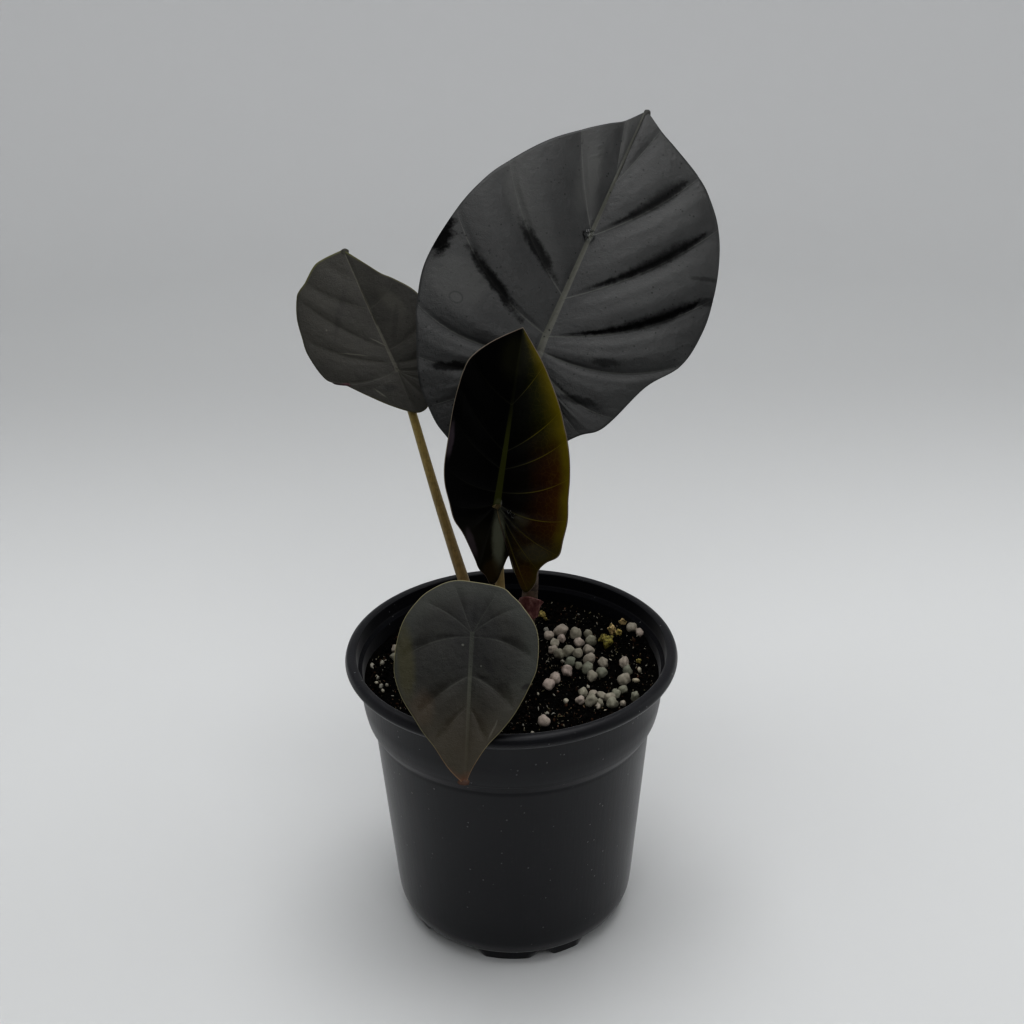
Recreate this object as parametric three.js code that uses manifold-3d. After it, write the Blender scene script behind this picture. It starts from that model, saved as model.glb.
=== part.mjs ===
// A small potted alocasia: four leaves on their petioles, a stem base standing in a hole in the
// soil, white prills lying on the soil, and a black nursery pot. Millimetres, +Z up. The origin is
// on the pot's axis at the surface that the pot stands on, and the front of the pot is -Y.

import * as THREE from 'three';
import { mergeVertices } from 'three/addons/utils/BufferGeometryUtils.js';
import Module from 'manifold-3d';

const wasm = await Module();
wasm.setup();

// Driving dimensions of the pot
const RIM_RADIUS = 54;
const POT_HEIGHT = 100;
const COLLAR_BOTTOM = 77.5;
const COLLAR_RADIUS = 49.4;
const WAIST_RADIUS = 45.6;
const WAIST_HEIGHT = 74;
const BODY_BOTTOM_RADIUS = 40.5;
const BODY_BOTTOM_HEIGHT = 12.5;
const FOOT_RADIUS = 36;
const FOOT_HEIGHT = 3.2;
const WALL = 1;
const POT_SIDES = 28;

// Feet: a quarter of the ring holds two feet, with a wide gap and a narrow notch between them
const GAP_TOP_ANGLE = 26;
const FOOT_RAMP_ANGLE = 7;
const GAP_AZIMUTH = -36;
const NOTCH_AZIMUTH = 14;
const NOTCH_TOP_ANGLE = 1;
const QUARTER_TURN = 90;
const FOOT_CUT_START = 28;
const FOOT_CUT_LENGTH = 12;
const UNDERSIDE = 4;
const FLOOR = 5.4;
const DRAIN_RADIUS = 3.2;
const DRAIN_CIRCLE = 25;

// Soil, and the gap that pieces which touch keep between them
const SOIL_LEVEL = 90;
const BANK_CENTRE = [43, 19];
const BANK_SPREAD = 9;
const BANK_HEIGHT = 2.8;
const SEAT = 0.35;
const SOIL_SIDES = 44;

// Stem base
const STEM_CENTRE = [-2, 0.3];
const STEM_RADIUS = 8.8;
const STEM_BOTTOM = 72;
const STEM_TOP = 92.1;
const STEM_HOLE_DEPTH = 30;
const PETIOLE_START = STEM_TOP + SEAT;

// Blades
const BLADE_THICKNESS = 0.8;
const BLADE_COLUMNS = 7;
const BLADE_STEPS = 2;
const VEIN_BOW = 0.12;
const LOBE_ROWS = 4;
const PANEL_SKEW = 0.7;

// Colours and finishes
const FINISH = {
  pot: { color: 0x1c1c1f, roughness: 0.42, metalness: 0 },
  soil: { color: 0x17110d, roughness: 0.95, metalness: 0 },
  stem: { color: 0x5a4a32, roughness: 0.6, metalness: 0 },
  petiole: { color: 0x6f6234, roughness: 0.5, metalness: 0 },
  darkBlade: { color: 0x2b2d2c, roughness: 0.38, metalness: 0 },
  brownBlade: { color: 0x34322a, roughness: 0.42, metalness: 0 },
  youngBlade: { color: 0x16150b, roughness: 0.3, metalness: 0 },
  sheath: { color: 0x4b2b29, roughness: 0.6, metalness: 0 },
  prill: { color: 0xb4b0a8, roughness: 0.85, metalness: 0 },
  yellow: { color: 0x8f8142, roughness: 0.85, metalness: 0 },
};

const plant = new THREE.Group();

function addPiece(name, geometry, finish) {
  const mesh = new THREE.Mesh(geometry, new THREE.MeshStandardMaterial(finish));
  mesh.name = name;
  plant.add(mesh);
}

// Solids

// Keeps only positions, joins shared corners, drops empty triangles and turns the faces outwards
function closedSolid(geometry) {
  const bare = geometry.clone();
  bare.deleteAttribute('normal');
  bare.deleteAttribute('uv');
  const joined = mergeVertices(bare, 1e-3);
  const corner = joined.getAttribute('position');
  const old = joined.getIndex().array;
  const kept = [];
  let volume = 0;
  const a = new THREE.Vector3();
  const b = new THREE.Vector3();
  const c = new THREE.Vector3();
  for (let i = 0; i < old.length; i += 3) {
    const [p, q, r] = [old[i], old[i + 1], old[i + 2]];
    if (p === q || q === r || r === p) continue;
    kept.push(p, q, r);
    a.fromBufferAttribute(corner, p);
    b.fromBufferAttribute(corner, q);
    c.fromBufferAttribute(corner, r);
    volume += a.dot(b.cross(c));
  }
  if (volume < 0) kept.reverse();
  joined.setIndex(kept);
  return joined;
}

function toManifold(geometry) {
  const solid = closedSolid(geometry);
  return new wasm.Manifold(new wasm.Mesh({
    numProp: 3,
    vertProperties: new Float32Array(solid.getAttribute('position').array),
    triVerts: new Uint32Array(solid.getIndex().array),
  }));
}

function fromManifold(manifold) {
  const mesh = manifold.getMesh();
  const geometry = new THREE.BufferGeometry();
  geometry.setAttribute('position', new THREE.BufferAttribute(mesh.vertProperties, 3));
  geometry.setIndex(new THREE.BufferAttribute(mesh.triVerts, 1));
  return geometry;
}

// A solid of revolution about the Z axis, from [radius, height] points
function turned(profile, sides) {
  const points = profile.map(([radius, height]) => new THREE.Vector2(radius, height));
  return new THREE.LatheGeometry(points, sides).rotateX(Math.PI / 2);
}

// A closed sheet between an upper and a lower skin that are split into triangles alike
function sheetSolid(upper, lower, faces) {
  const places = new Map();
  const label = (point) => point.toArray().map((value) => Math.round(value * 1000)).join(' ');
  const first = upper.map((point, i) => {
    const key = label(point);
    if (!places.has(key)) places.set(key, i);
    return places.get(key);
  });
  const skin = faces.map((face) => face.map((i) => first[i]))
    .filter(([p, q, r]) => p !== q && q !== r && r !== p);
  const edges = new Set();
  for (const [p, q, r] of skin) {
    for (const [s, t] of [[p, q], [q, r], [r, p]]) edges.add(`${s} ${t}`);
  }
  const count = upper.length;
  const index = [];
  for (const [p, q, r] of skin) {
    index.push(p, q, r, count + p, count + r, count + q);
    for (const [s, t] of [[p, q], [q, r], [r, p]]) {
      if (!edges.has(`${t} ${s}`)) index.push(s, count + s, t, t, count + s, count + t);
    }
  }
  const geometry = new THREE.BufferGeometry().setFromPoints([...upper, ...lower]);
  geometry.setIndex(index);
  return closedSolid(geometry);
}

// A tapered stalk along a smooth curve, flat at both ends
function stalkSolid(points, bottomRadius, topRadius, sides = 10, steps = 14) {
  const curve = new THREE.CatmullRomCurve3(points.map((point) => new THREE.Vector3(...point)));
  const frames = curve.computeFrenetFrames(steps, false);
  const geometry = new THREE.CylinderGeometry(1, 1, 1, sides, steps);
  const place = geometry.getAttribute('position');
  for (let i = 0; i < place.count; i += 1) {
    const t = place.getY(i) + 0.5;
    const step = Math.round(t * steps);
    const radius = stalkRadius(bottomRadius, topRadius, t);
    const point = curve.getPointAt(step / steps)
      .addScaledVector(frames.normals[step], place.getX(i) * radius)
      .addScaledVector(frames.binormals[step], -place.getZ(i) * radius);
    place.setXYZ(i, point.x, point.y, point.z);
  }
  return closedSolid(geometry);
}

function stalkRadius(bottomRadius, topRadius, t) {
  return topRadius + (bottomRadius - topRadius) * (1 - t) ** 1.5;
}

// Pot

// The collar, a narrow step that widens it, the thick lip, and the ledge that the step leaves inside
const rimProfile = [
  [COLLAR_RADIUS - 0.3, 84], [COLLAR_RADIUS, 93.2], [51.3, 94.6], [51.4, 96.4], [53.2, 96.6],
  [RIM_RADIUS, 98], [53.5, 99.4], [52.4, POT_HEIGHT], [51.1, POT_HEIGHT], [50.3, 99.3],
  [50, 94.9], [COLLAR_RADIUS - WALL + 0.2, 94], [COLLAR_RADIUS - WALL - 0.3, 84.4],
];
const bodyOutside = [
  [FOOT_RADIUS, 0], [FOOT_RADIUS + 0.3, FOOT_HEIGHT], [38.5, 5], [40, 8.5],
  [BODY_BOTTOM_RADIUS, BODY_BOTTOM_HEIGHT], [WAIST_RADIUS, WAIST_HEIGHT], [47.8, COLLAR_BOTTOM],
];
const bodyInside = [
  [46.8, COLLAR_BOTTOM + 0.7], [WAIST_RADIUS - WALL, WAIST_HEIGHT + 0.6],
  [BODY_BOTTOM_RADIUS - WALL, BODY_BOTTOM_HEIGHT], [38.9, 9], [36.8, 6.4], [34, FLOOR],
];

// What a gap or notch takes out of the foot ring: a block with sloping ends, wider at the ground
function footCut(azimuth, topAngle) {
  const halfTop = FOOT_RADIUS * THREE.MathUtils.degToRad(topAngle / 2);
  const halfBottom = FOOT_RADIUS * THREE.MathUtils.degToRad(topAngle / 2 + FOOT_RAMP_ANGLE);
  const slope = (halfBottom - halfTop) / FOOT_HEIGHT;
  const outline = new THREE.Shape([
    new THREE.Vector2(-halfBottom - slope, -1), new THREE.Vector2(halfBottom + slope, -1),
    new THREE.Vector2(halfTop, FOOT_HEIGHT), new THREE.Vector2(-halfTop, FOOT_HEIGHT),
  ]);
  return new THREE.ExtrudeGeometry(outline, { depth: FOOT_CUT_LENGTH, bevelEnabled: false })
    .rotateX(Math.PI / 2)
    .translate(0, -FOOT_CUT_START, 0)
    .rotateZ(THREE.MathUtils.degToRad(azimuth));
}

function drainHole(x, y) {
  return new THREE.CylinderGeometry(DRAIN_RADIUS, DRAIN_RADIUS, FLOOR, 10)
    .rotateX(Math.PI / 2)
    .translate(x, y, FLOOR);
}

function potSolid() {
  const profile = [
    [0, UNDERSIDE], [FOOT_RADIUS - 1.6, UNDERSIDE], [FOOT_RADIUS - 1.2, 0],
    ...bodyOutside, ...rimProfile, ...bodyInside, [0, FLOOR],
  ];
  let pot = toManifold(turned(profile, POT_SIDES));
  for (let quarter = 0; quarter < 4; quarter += 1) {
    const azimuth = GAP_AZIMUTH + quarter * QUARTER_TURN;
    pot = pot.subtract(toManifold(footCut(azimuth, GAP_TOP_ANGLE)));
    const notch = NOTCH_AZIMUTH + quarter * QUARTER_TURN;
    pot = pot.subtract(toManifold(footCut(notch, NOTCH_TOP_ANGLE)));
    const angle = THREE.MathUtils.degToRad(azimuth - QUARTER_TURN);
    const hole = drainHole(DRAIN_CIRCLE * Math.cos(angle), DRAIN_CIRCLE * Math.sin(angle));
    pot = pot.subtract(toManifold(hole));
  }
  return fromManifold(pot.subtract(toManifold(drainHole(0, 0))));
}

addPiece('pot', potSolid(), FINISH.pot);

// Soil

// Height of the soil's uneven top, which is banked up against the pot's wall at the back right
function soilTop(x, y) {
  const away = Math.hypot(x - BANK_CENTRE[0], y - BANK_CENTRE[1]);
  const bank = BANK_HEIGHT * Math.exp(-((away / BANK_SPREAD) ** 2));
  return SOIL_LEVEL + bank + 0.55 * Math.sin(0.13 * x + 1) * Math.cos(0.11 * y + 0.5)
    + 0.25 * Math.sin(0.27 * x + 0.21 * y);
}

const soilSide = [
  [0, FLOOR + SEAT], [33.6, FLOOR + SEAT], [36.3, 6.9], [38.2, 9.3], [38.9, 12.7], [44, 74.8], [46.2, 78.6],
  [47.4, 84.6], [47.7, SOIL_LEVEL],
];
const soilRings = [45, 40, 34, 28, 22, 16, 10, 5, 0];

function soilSolid() {
  const profile = [...soilSide, ...soilRings.map((radius) => [radius, SOIL_LEVEL])];
  const geometry = turned(profile, SOIL_SIDES);
  const place = geometry.getAttribute('position');
  for (let i = 0; i < place.count; i += 1) {
    const onTop = place.getZ(i) > SOIL_LEVEL - 0.01;
    if (onTop) place.setZ(i, soilTop(place.getX(i), place.getY(i)));
  }
  const radius = STEM_RADIUS + SEAT;
  const hole = new THREE.CylinderGeometry(radius, radius, STEM_HOLE_DEPTH, 24)
    .rotateX(Math.PI / 2)
    .translate(...STEM_CENTRE, STEM_BOTTOM - SEAT + STEM_HOLE_DEPTH / 2);
  return fromManifold(toManifold(geometry).subtract(toManifold(hole)));
}

addPiece('soil', soilSolid(), FINISH.soil);

// Stem base and petioles

const stemProfile = [
  [0, STEM_BOTTOM], [6.5, STEM_BOTTOM], [8.3, 76], [STEM_RADIUS, 83], [STEM_RADIUS, 90.4],
  [8.1, STEM_TOP], [0, STEM_TOP],
];
const stemBase = turned(stemProfile, 20).translate(...STEM_CENTRE, 0);
addPiece('stem_base', closedSolid(stemBase), FINISH.stem);

// Leaves. A blade's junction is where its petiole meets it. Its normal points out of its upper
// face: lean is the normal's height above the horizon, and turn its swing to the right of the
// front. spin turns the midrib in the blade's plane, from straight up towards the right.
// Rows run from the midrib out to the margin. A row leaves the midrib at its start, measured from
// the junction towards the tip, and ends on each half's margin at [along, across]. The first row
// is shared by both halves, odd rows are the main veins and even rows the crests between them.
// The right half is to the right of the midrib when the upper face is seen with the tip up.
const leaves = {
  big: {
    junction: [9.3, 13, 193.9],
    lean: 29,
    turn: 6,
    spin: 27.8,
    tipBend: 450,
    lobeBend: 150,
    fold: 0.12,
    sag: 0.0022,
    relief: 2,
    reach: 44,
    starts: [0, 0, 0, 0, 0, 0, 1.5, 3, 5, 8, 14, 21, 32, 43, 52, 62, 89],
    right: [
      [-21, 1.5], [-27, 8.5], [-22.5, 15.5], [-16, 21.5], [-12.5, 26], [-7, 29], [6, 34],
      [17, 41.5], [29.5, 43.5], [40.5, 42.5], [52.5, 39.5], [62, 35.5], [69.5, 29.5], [75, 23.5],
      [81, 13], [84.5, 6.5], [89, 0],
    ],
    left: [
      [-21, 1.5], [-35, -6], [-32, -17.5], [-27, -24.5], [-21.5, -30], [-14.5, -34], [-7, -37.5],
      [0, -40.5], [13.5, -43.5], [32, -41.5], [45, -37.5], [53.5, -33], [64.5, -25],
      [73, -16.5], [79, -9.5], [82.5, -5], [89, 0],
    ],
    petiole: [
      [2.6, 1.8, PETIOLE_START], [2.8, 1.9, 95.5], [4.9, 3.4, 105], [6.4, 5, 116.5],
      [6.9, 6.5, 127], [8.3, 11, 153.6], [8.7, 15, 179],
    ],
    bottomRadius: 3.1,
    topRadius: 1.6,
    finish: FINISH.darkBlade,
  },
  left: {
    junction: [-34.6, 24, 187],
    lean: 30,
    turn: -12,
    spin: -30.2,
    tipBend: 450,
    lobeBend: 150,
    fold: 0.12,
    sag: 0.003,
    relief: 1.2,
    reach: 24,
    starts: [0, 0, 0, 0, 0, 0, 1, 2.5, 4.5, 7, 14.5, 22, 28, 32, 44],
    right: [
      [-15.5, 2.5], [-14, 5.5], [-12, 8], [-9.5, 10.5], [-7, 12.5], [-3.5, 15], [-1, 16.3],
      [2, 17.3], [7.5, 18.2], [13, 18], [20.5, 15.7], [27, 11.3], [30.5, 8.3], [35.5, 5.2],
      [44, 0],
    ],
    left: [
      [-15.5, 2.5], [-14.5, -1], [-9, -7], [-2, -13], [3.5, -17.5], [7.5, -22], [17, -24],
      [23.5, -23.5], [30, -22.5], [36, -20], [38, -18], [39.5, -15.5], [43, -11], [44, -7.5],
      [44, 0],
    ],
    petiole: [
      [-6.2, 2.6, PETIOLE_START], [-6.6, 2.7, 95.5], [-10.3, 4.8, 105], [-15.1, 8, 120],
      [-23, 14, 147.2], [-30.4, 21, 174.3],
    ],
    bottomRadius: 2.3,
    topRadius: 1.3,
    finish: FINISH.brownBlade,
  },
  front: {
    junction: [-3.6, -8, 155.4],
    lean: 12,
    turn: 4,
    spin: 10.4,
    tipBend: 450,
    lobeBend: 150,
    fold: 0.18,
    sag: -0.0083,
    relief: 0.8,
    reach: 22,
    starts: [0, 0, 0, 0, 0, 0, 0, 0, 0, 0, 1.5, 3.5, 7, 10.5, 13, 16, 23, 30.5, 41, 54],
    right: [
      [-16.5, 5.9], [-24, 9.2], [-26.5, 11.3], [-26.5, 13.5], [-23, 15.3], [-18.8, 15.5],
      [-15.6, 17.3], [-12.5, 20.5], [-7, 21], [-1, 21.3], [5.5, 20.5], [12, 20], [18, 19],
      [23.5, 17.5], [27.5, 16], [31.5, 14.5], [37, 11.8], [44, 7.7], [49, 4], [54, 0],
    ],
    left: [
      [-16.5, 5.9], [-21.5, 5.4], [-25.3, 4], [-26.5, 2], [-24, 0], [-21.9, -2.3],
      [-18.2, -4.4], [-10.8, -8.9], [-6.3, -12.5], [-1, -14.7], [5, -17], [11, -18], [18.5, -18],
      [26.5, -17.9], [32, -17.5], [35.5, -17], [39.5, -16.3], [43.8, -14.5], [48.8, -9], [54, 0],
    ],
    petiole: [
      [-1.6, -3.2, PETIOLE_START], [-1.7, -3.2, 95.5], [-2.6, -3.8, 108], [-3.3, -4.2, 126.9],
      [-3.6, -4, 142],
    ],
    bottomRadius: 2.2,
    topRadius: 1.3,
    finish: FINISH.youngBlade,
  },
  low: {
    junction: [-11.5, -37, 126.2],
    lean: 38,
    turn: -6,
    spin: 180,
    tipBend: 300,
    lobeBend: 100,
    fold: 0.08,
    sag: 0.003,
    relief: 0.9,
    reach: 23,
    starts: [0, 0, 0, 0, 0, 1, 7, 12.5, 16.5, 21.5, 31, 44.5],
    right: [
      [-16, 1], [-16, 7], [-13.5, 12.5], [-9.5, 17], [-1.5, 21.5], [10.5, 23], [19, 20.5],
      [26.5, 15.5], [30, 13], [34, 9.5], [40, 5], [44.5, 0],
    ],
    left: [
      [-16, 1], [-14.5, -8], [-12, -11.5], [-8.5, -15], [-1.5, -19.5], [8.5, -20], [15, -18],
      [23, -14], [28.5, -10], [33, -6], [39.5, -2], [44.5, 0],
    ],
    petiole: [
      [-6.6, -3.2, PETIOLE_START], [-6.7, -3.5, 95.5], [-7.2, -7, 104], [-8.5, -17, 116],
      [-10.4, -28.5, 122.5],
    ],
    bottomRadius: 2.1,
    topRadius: 1.2,
    finish: FINISH.brownBlade,
  },
};

// The blade's own directions: along towards the tip, across to the right, out of the upper face
function bladeAxes({ lean, turn, spin }) {
  const rad = THREE.MathUtils.degToRad;
  const out = new THREE.Vector3(
    Math.sin(rad(turn)) * Math.cos(rad(lean)),
    -Math.cos(rad(turn)) * Math.cos(rad(lean)),
    Math.sin(rad(lean)),
  );
  const up = new THREE.Vector3(0, 0, 1).addScaledVector(out, -out.z).normalize();
  const right = new THREE.Vector3().crossVectors(up, out);
  const along = up.multiplyScalar(Math.cos(rad(spin))).addScaledVector(right, Math.sin(rad(spin)));
  return { along, across: new THREE.Vector3().crossVectors(along, out), out };
}

function catmullRom(a, b, c, d, t) {
  return 0.5 * (2 * b + (c - a) * t + (2 * a - 5 * b + 4 * c - d) * t * t
    + (3 * b - a - 3 * c + d) * t * t * t);
}

// A half's row at a place between its rows; before the first row comes the other half's second
function rowAt(leaf, side, place) {
  const [ends, others] = side > 0 ? [leaf.right, leaf.left] : [leaf.left, leaf.right];
  const last = ends.length - 1;
  const i = Math.min(Math.floor(place), last - 1);
  const t = place - i;
  const before = i === 0 ? others[1] : ends[i - 1];
  const after = ends[Math.min(i + 2, last)];
  const blend = (k) => catmullRom(before[k], ends[i][k], ends[i + 1][k], after[k], t);
  const start = THREE.MathUtils.lerp(leaf.starts[i], leaf.starts[i + 1], t);
  return { start, along: blend(0), across: blend(1) };
}

// The blade's plain form, before its veins: both ends bend back, and the halves fold forward
function bladeForm(leaf, along, across) {
  const bend = along > 0 ? leaf.tipBend : leaf.lobeBend;
  return -(along ** 2) / (2 * bend) + leaf.fold * Math.abs(across) - leaf.sag * across ** 2;
}

// A point of the blade, at a place among the rows and a share w of the way out to the margin
function bladePoint(leaf, side, place, w) {
  const row = rowAt(leaf, side, place);
  const run = row.along - row.start;
  const length = Math.hypot(run, row.across);
  const rise = length > 0 ? run / length : 1;
  const bow = VEIN_BOW * (1 - rise ** 2) * length * 4 * w * (1 - w)
    * Math.min(1, place / LOBE_ROWS);
  const along = row.start + run * w - Math.sqrt(1 - rise ** 2) * bow;
  const across = row.across * w + side * rise * bow;
  const position = (place - 1) / 2;
  const share = position - Math.floor(position);
  const spread = Math.min(1, 1.5 * w + Math.max(0, place - LOBE_ROWS) / 3);
  const puff = Math.sin(Math.PI * share ** PANEL_SKEW) * (3 * w * (1 - w) + 0.25 * w) * spread;
  const height = bladeForm(leaf, along, across)
    + leaf.relief * Math.min(1, length / leaf.reach) * puff;
  return { along, across, height };
}

function bladeSolid(leaf) {
  const axes = bladeAxes(leaf);
  const junction = new THREE.Vector3(...leaf.junction);
  const half = axes.out.clone().multiplyScalar(BLADE_THICKNESS / 2);
  const upper = [];
  const faces = [];
  for (const side of [1, -1]) {
    const first = upper.length;
    const count = (leaf.starts.length - 1) * BLADE_STEPS;
    for (let i = 0; i <= count; i += 1) {
      for (let j = 0; j <= BLADE_COLUMNS; j += 1) {
        const point = bladePoint(leaf, side, i / BLADE_STEPS, j / BLADE_COLUMNS);
        upper.push(junction.clone()
          .addScaledVector(axes.along, point.along)
          .addScaledVector(axes.across, point.across)
          .addScaledVector(axes.out, point.height)
          .add(half));
        if (i < count && j < BLADE_COLUMNS) {
          const corner = first + i * (BLADE_COLUMNS + 1) + j;
          const next = corner + BLADE_COLUMNS + 1;
          if (side > 0) faces.push([corner, corner + 1, next + 1], [corner, next + 1, next]);
          else faces.push([corner, next + 1, corner + 1], [corner, next, next + 1]);
        }
      }
    }
  }
  const lower = upper.map((point) => point.clone().addScaledVector(half, -2));
  return sheetSolid(upper, lower, faces);
}

// The petiole's flat end lies behind the junction, just clear of the blade's underside
function petioleSolid(leaf) {
  const { out } = bladeAxes(leaf);
  const junction = new THREE.Vector3(...leaf.junction);
  const way = junction.clone().sub(new THREE.Vector3(...leaf.petiole.at(-1))).normalize();
  const tilt = Math.sqrt(1 - way.dot(out) ** 2);
  const clear = BLADE_THICKNESS / 2 + SEAT + leaf.topRadius * tilt;
  const end = junction.addScaledVector(out, -clear);
  return stalkSolid([...leaf.petiole, end.toArray()], leaf.bottomRadius, leaf.topRadius);
}

for (const [name, leaf] of Object.entries(leaves)) {
  addPiece(`blade_${name}`, bladeSolid(leaf), leaf.finish);
  addPiece(`petiole_${name}`, petioleSolid(leaf), FINISH.petiole);
}

// Sheath: a small dry scale that hugs the front of the big petiole and ends in a point
const sheath = {
  bottom: [5.4, 4, 109],
  top: [6.45, 5.05, 117],
  radius: 3.1,
  thickness: 0.7,
  from: -190,
  to: 20,
  point: 1.6,
};

function sheathSolid() {
  const inner = [];
  const outer = [];
  const faces = [];
  const around = 10;
  const up = 4;
  for (let i = 0; i <= around; i += 1) {
    const share = i / around;
    const angle = THREE.MathUtils.degToRad(sheath.from + (sheath.to - sheath.from) * share);
    const reach = 0.45 + 0.55 * Math.sin(Math.PI * share ** 0.8);
    for (let j = 0; j <= up; j += 1) {
      const t = (j / up) * reach;
      const flare = sheath.radius + sheath.point * (j / up) ** 2 * share ** 3;
      const centre = new THREE.Vector3(...sheath.bottom)
        .lerp(new THREE.Vector3(...sheath.top), t);
      const way = new THREE.Vector3(Math.cos(angle), Math.sin(angle), 0);
      inner.push(centre.clone().addScaledVector(way, flare));
      outer.push(centre.clone().addScaledVector(way, flare + sheath.thickness));
      if (i < around && j < up) {
        const corner = i * (up + 1) + j;
        const next = corner + up + 1;
        faces.push([corner, next, next + 1], [corner, next + 1, corner + 1]);
      }
    }
  }
  return sheetSolid(outer, inner, faces);
}

addPiece('sheath', sheathSolid(), FINISH.sheath);

// Prills: small balls that lie on the soil in groups, as [x, y, diameter]. Within a group each
// ball leans on the nearest one before it, so that a group holds together.
const prillGroups = {
  middle: [
    [17, 22.3, 4.3], [12.6, 19.3, 3.5], [17.2, 17, 3.4], [21.8, 19.9, 3.7], [26, 19.8, 3.4],
    [26.6, 15.2, 3.7], [22.7, 14.1, 3.6], [14.6, 14.8, 3.2], [13.9, 10.7, 3.4], [15.6, 8.4, 3.1],
    [19.1, 9.7, 3.5], [22.2, 7.7, 3], [25.7, 9.6, 3.4], [25.6, 4.2, 3.8], [19.8, 3.4, 3.4],
    [18.1, -3, 4], [25.4, -1.4, 3.6], [25.8, -6.1, 3.5], [30.1, 2.4, 3.5], [29.5, -3, 3.3],
  ],
  pair: [[14.2, -8, 3.5], [12, -12.2, 3.8]],
  right: [[37.1, 1.7, 3.5], [37.8, -2.6, 3.4], [36.1, -8.9, 3.9], [35.6, -14.7, 3.1]],
  front: [
    [22.5, -15.4, 3], [25.7, -17.2, 3], [21.5, -21.2, 3.3], [24.9, -21.3, 3.6],
    [29.2, -17.4, 3.1], [32.7, -16.2, 3.2], [31.5, -23.5, 3.5], [28, -22.2, 2.6],
  ],
  back: [[40.4, 19.4, 3.5], [42.8, 17.2, 2.7]],
  left: [[-38.6, 12.8, 3.4], [-38.2, 7.6, 3.4]],
};
const loosePrills = {
  rim: [39.1, -19.3, 3.3],
  single: [10.1, -32.6, 3.3],
};
const yellowBits = [[35.4, 20, 2.9], [33.6, 16.4, 2.8], [31.6, 13.4, 2.9]];
const CONTACT = 0.88;

function ball([x, y, diameter]) {
  return new THREE.SphereGeometry(diameter / 2, 7, 5)
    .rotateX(Math.PI / 2)
    .translate(x, y, soilTop(x, y) + diameter / 2 + SEAT);
}

// Moves a ball until it touches the nearest ball of those placed before it
function leanOn(placed, [x, y, diameter]) {
  if (placed.length === 0) return [x, y, diameter];
  const gap = ([px, py, size]) => Math.hypot(x - px, y - py) - CONTACT * (size + diameter) / 2;
  const [px, py, size] = placed.reduce((best, other) => (gap(other) < gap(best) ? other : best));
  const distance = Math.hypot(x - px, y - py);
  const wanted = Math.min(distance, CONTACT * (size + diameter) / 2);
  return [px + (x - px) * wanted / distance, py + (y - py) * wanted / distance, diameter];
}

function groupSolid(balls) {
  const placed = [];
  for (const each of balls) placed.push(leanOn(placed, each));
  return fromManifold(placed.map((each) => toManifold(ball(each))).reduce((a, b) => a.add(b)));
}

for (const [name, balls] of Object.entries(prillGroups)) {
  addPiece(`prills_${name}`, groupSolid(balls), FINISH.prill);
}
for (const [name, each] of Object.entries(loosePrills)) {
  addPiece(`prill_${name}`, closedSolid(ball(each)), FINISH.prill);
}
addPiece('yellow_bits', groupSolid(yellowBits), FINISH.yellow);

export default plant;
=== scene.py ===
"""A small potted alocasia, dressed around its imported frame: ribbed leaves, stalks, soil, prills, pot."""

import math
import random

import bmesh
import bpy
from mathutils import Euler, Matrix, Vector, noise


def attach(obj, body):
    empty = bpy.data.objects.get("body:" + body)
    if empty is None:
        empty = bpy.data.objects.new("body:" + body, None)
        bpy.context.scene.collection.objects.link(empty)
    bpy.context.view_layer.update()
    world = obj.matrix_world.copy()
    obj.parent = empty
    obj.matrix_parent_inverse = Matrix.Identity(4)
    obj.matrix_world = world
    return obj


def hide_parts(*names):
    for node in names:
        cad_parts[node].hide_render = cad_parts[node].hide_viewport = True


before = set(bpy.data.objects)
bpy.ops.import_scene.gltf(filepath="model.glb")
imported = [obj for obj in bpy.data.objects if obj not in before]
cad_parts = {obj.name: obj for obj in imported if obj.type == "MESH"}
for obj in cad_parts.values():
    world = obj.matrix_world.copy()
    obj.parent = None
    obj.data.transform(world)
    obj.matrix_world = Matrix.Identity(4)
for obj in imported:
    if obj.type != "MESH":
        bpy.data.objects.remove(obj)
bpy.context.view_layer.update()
scene = bpy.context.scene
MM = 0.001

# Camera at the photograph's place
CAMERA_PLACE = Vector((0.93, -448.8, 368.7)) * MM
CAMERA_RIGHT = Vector((0.99988, -0.00682, -0.01389))
CAMERA_UP = Vector((0.01548, 0.44079, 0.89748))
CAMERA_LENS = 56.25


def make_camera():
    camera = bpy.data.objects.new("camera", bpy.data.cameras.new("camera"))
    right = CAMERA_RIGHT.normalized()
    back = right.cross(CAMERA_UP).normalized()
    turn = Matrix((right, back.cross(right), back)).transposed().to_4x4()
    camera.matrix_world = Matrix.Translation(CAMERA_PLACE) @ turn
    camera.data.lens = CAMERA_LENS
    camera.data.sensor_width = 36
    camera.data.clip_start = 0.01
    scene.collection.objects.link(camera)
    scene.camera = camera


make_camera()


# Materials

class Number:
    """A number that varies over a surface; sums and products with it become nodes."""

    def __init__(self, finish, socket):
        self.finish = finish
        self.socket = socket

    def __add__(self, other):
        return self.finish.maths("ADD", self, other)

    def __sub__(self, other):
        return self.finish.maths("SUBTRACT", self, other)

    def __rsub__(self, other):
        return self.finish.maths("SUBTRACT", other, self)

    def __mul__(self, other):
        return self.finish.maths("MULTIPLY", self, other)

    def __abs__(self):
        return self.finish.maths("ABSOLUTE", self)

    __radd__ = __add__
    __rmul__ = __mul__


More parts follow.
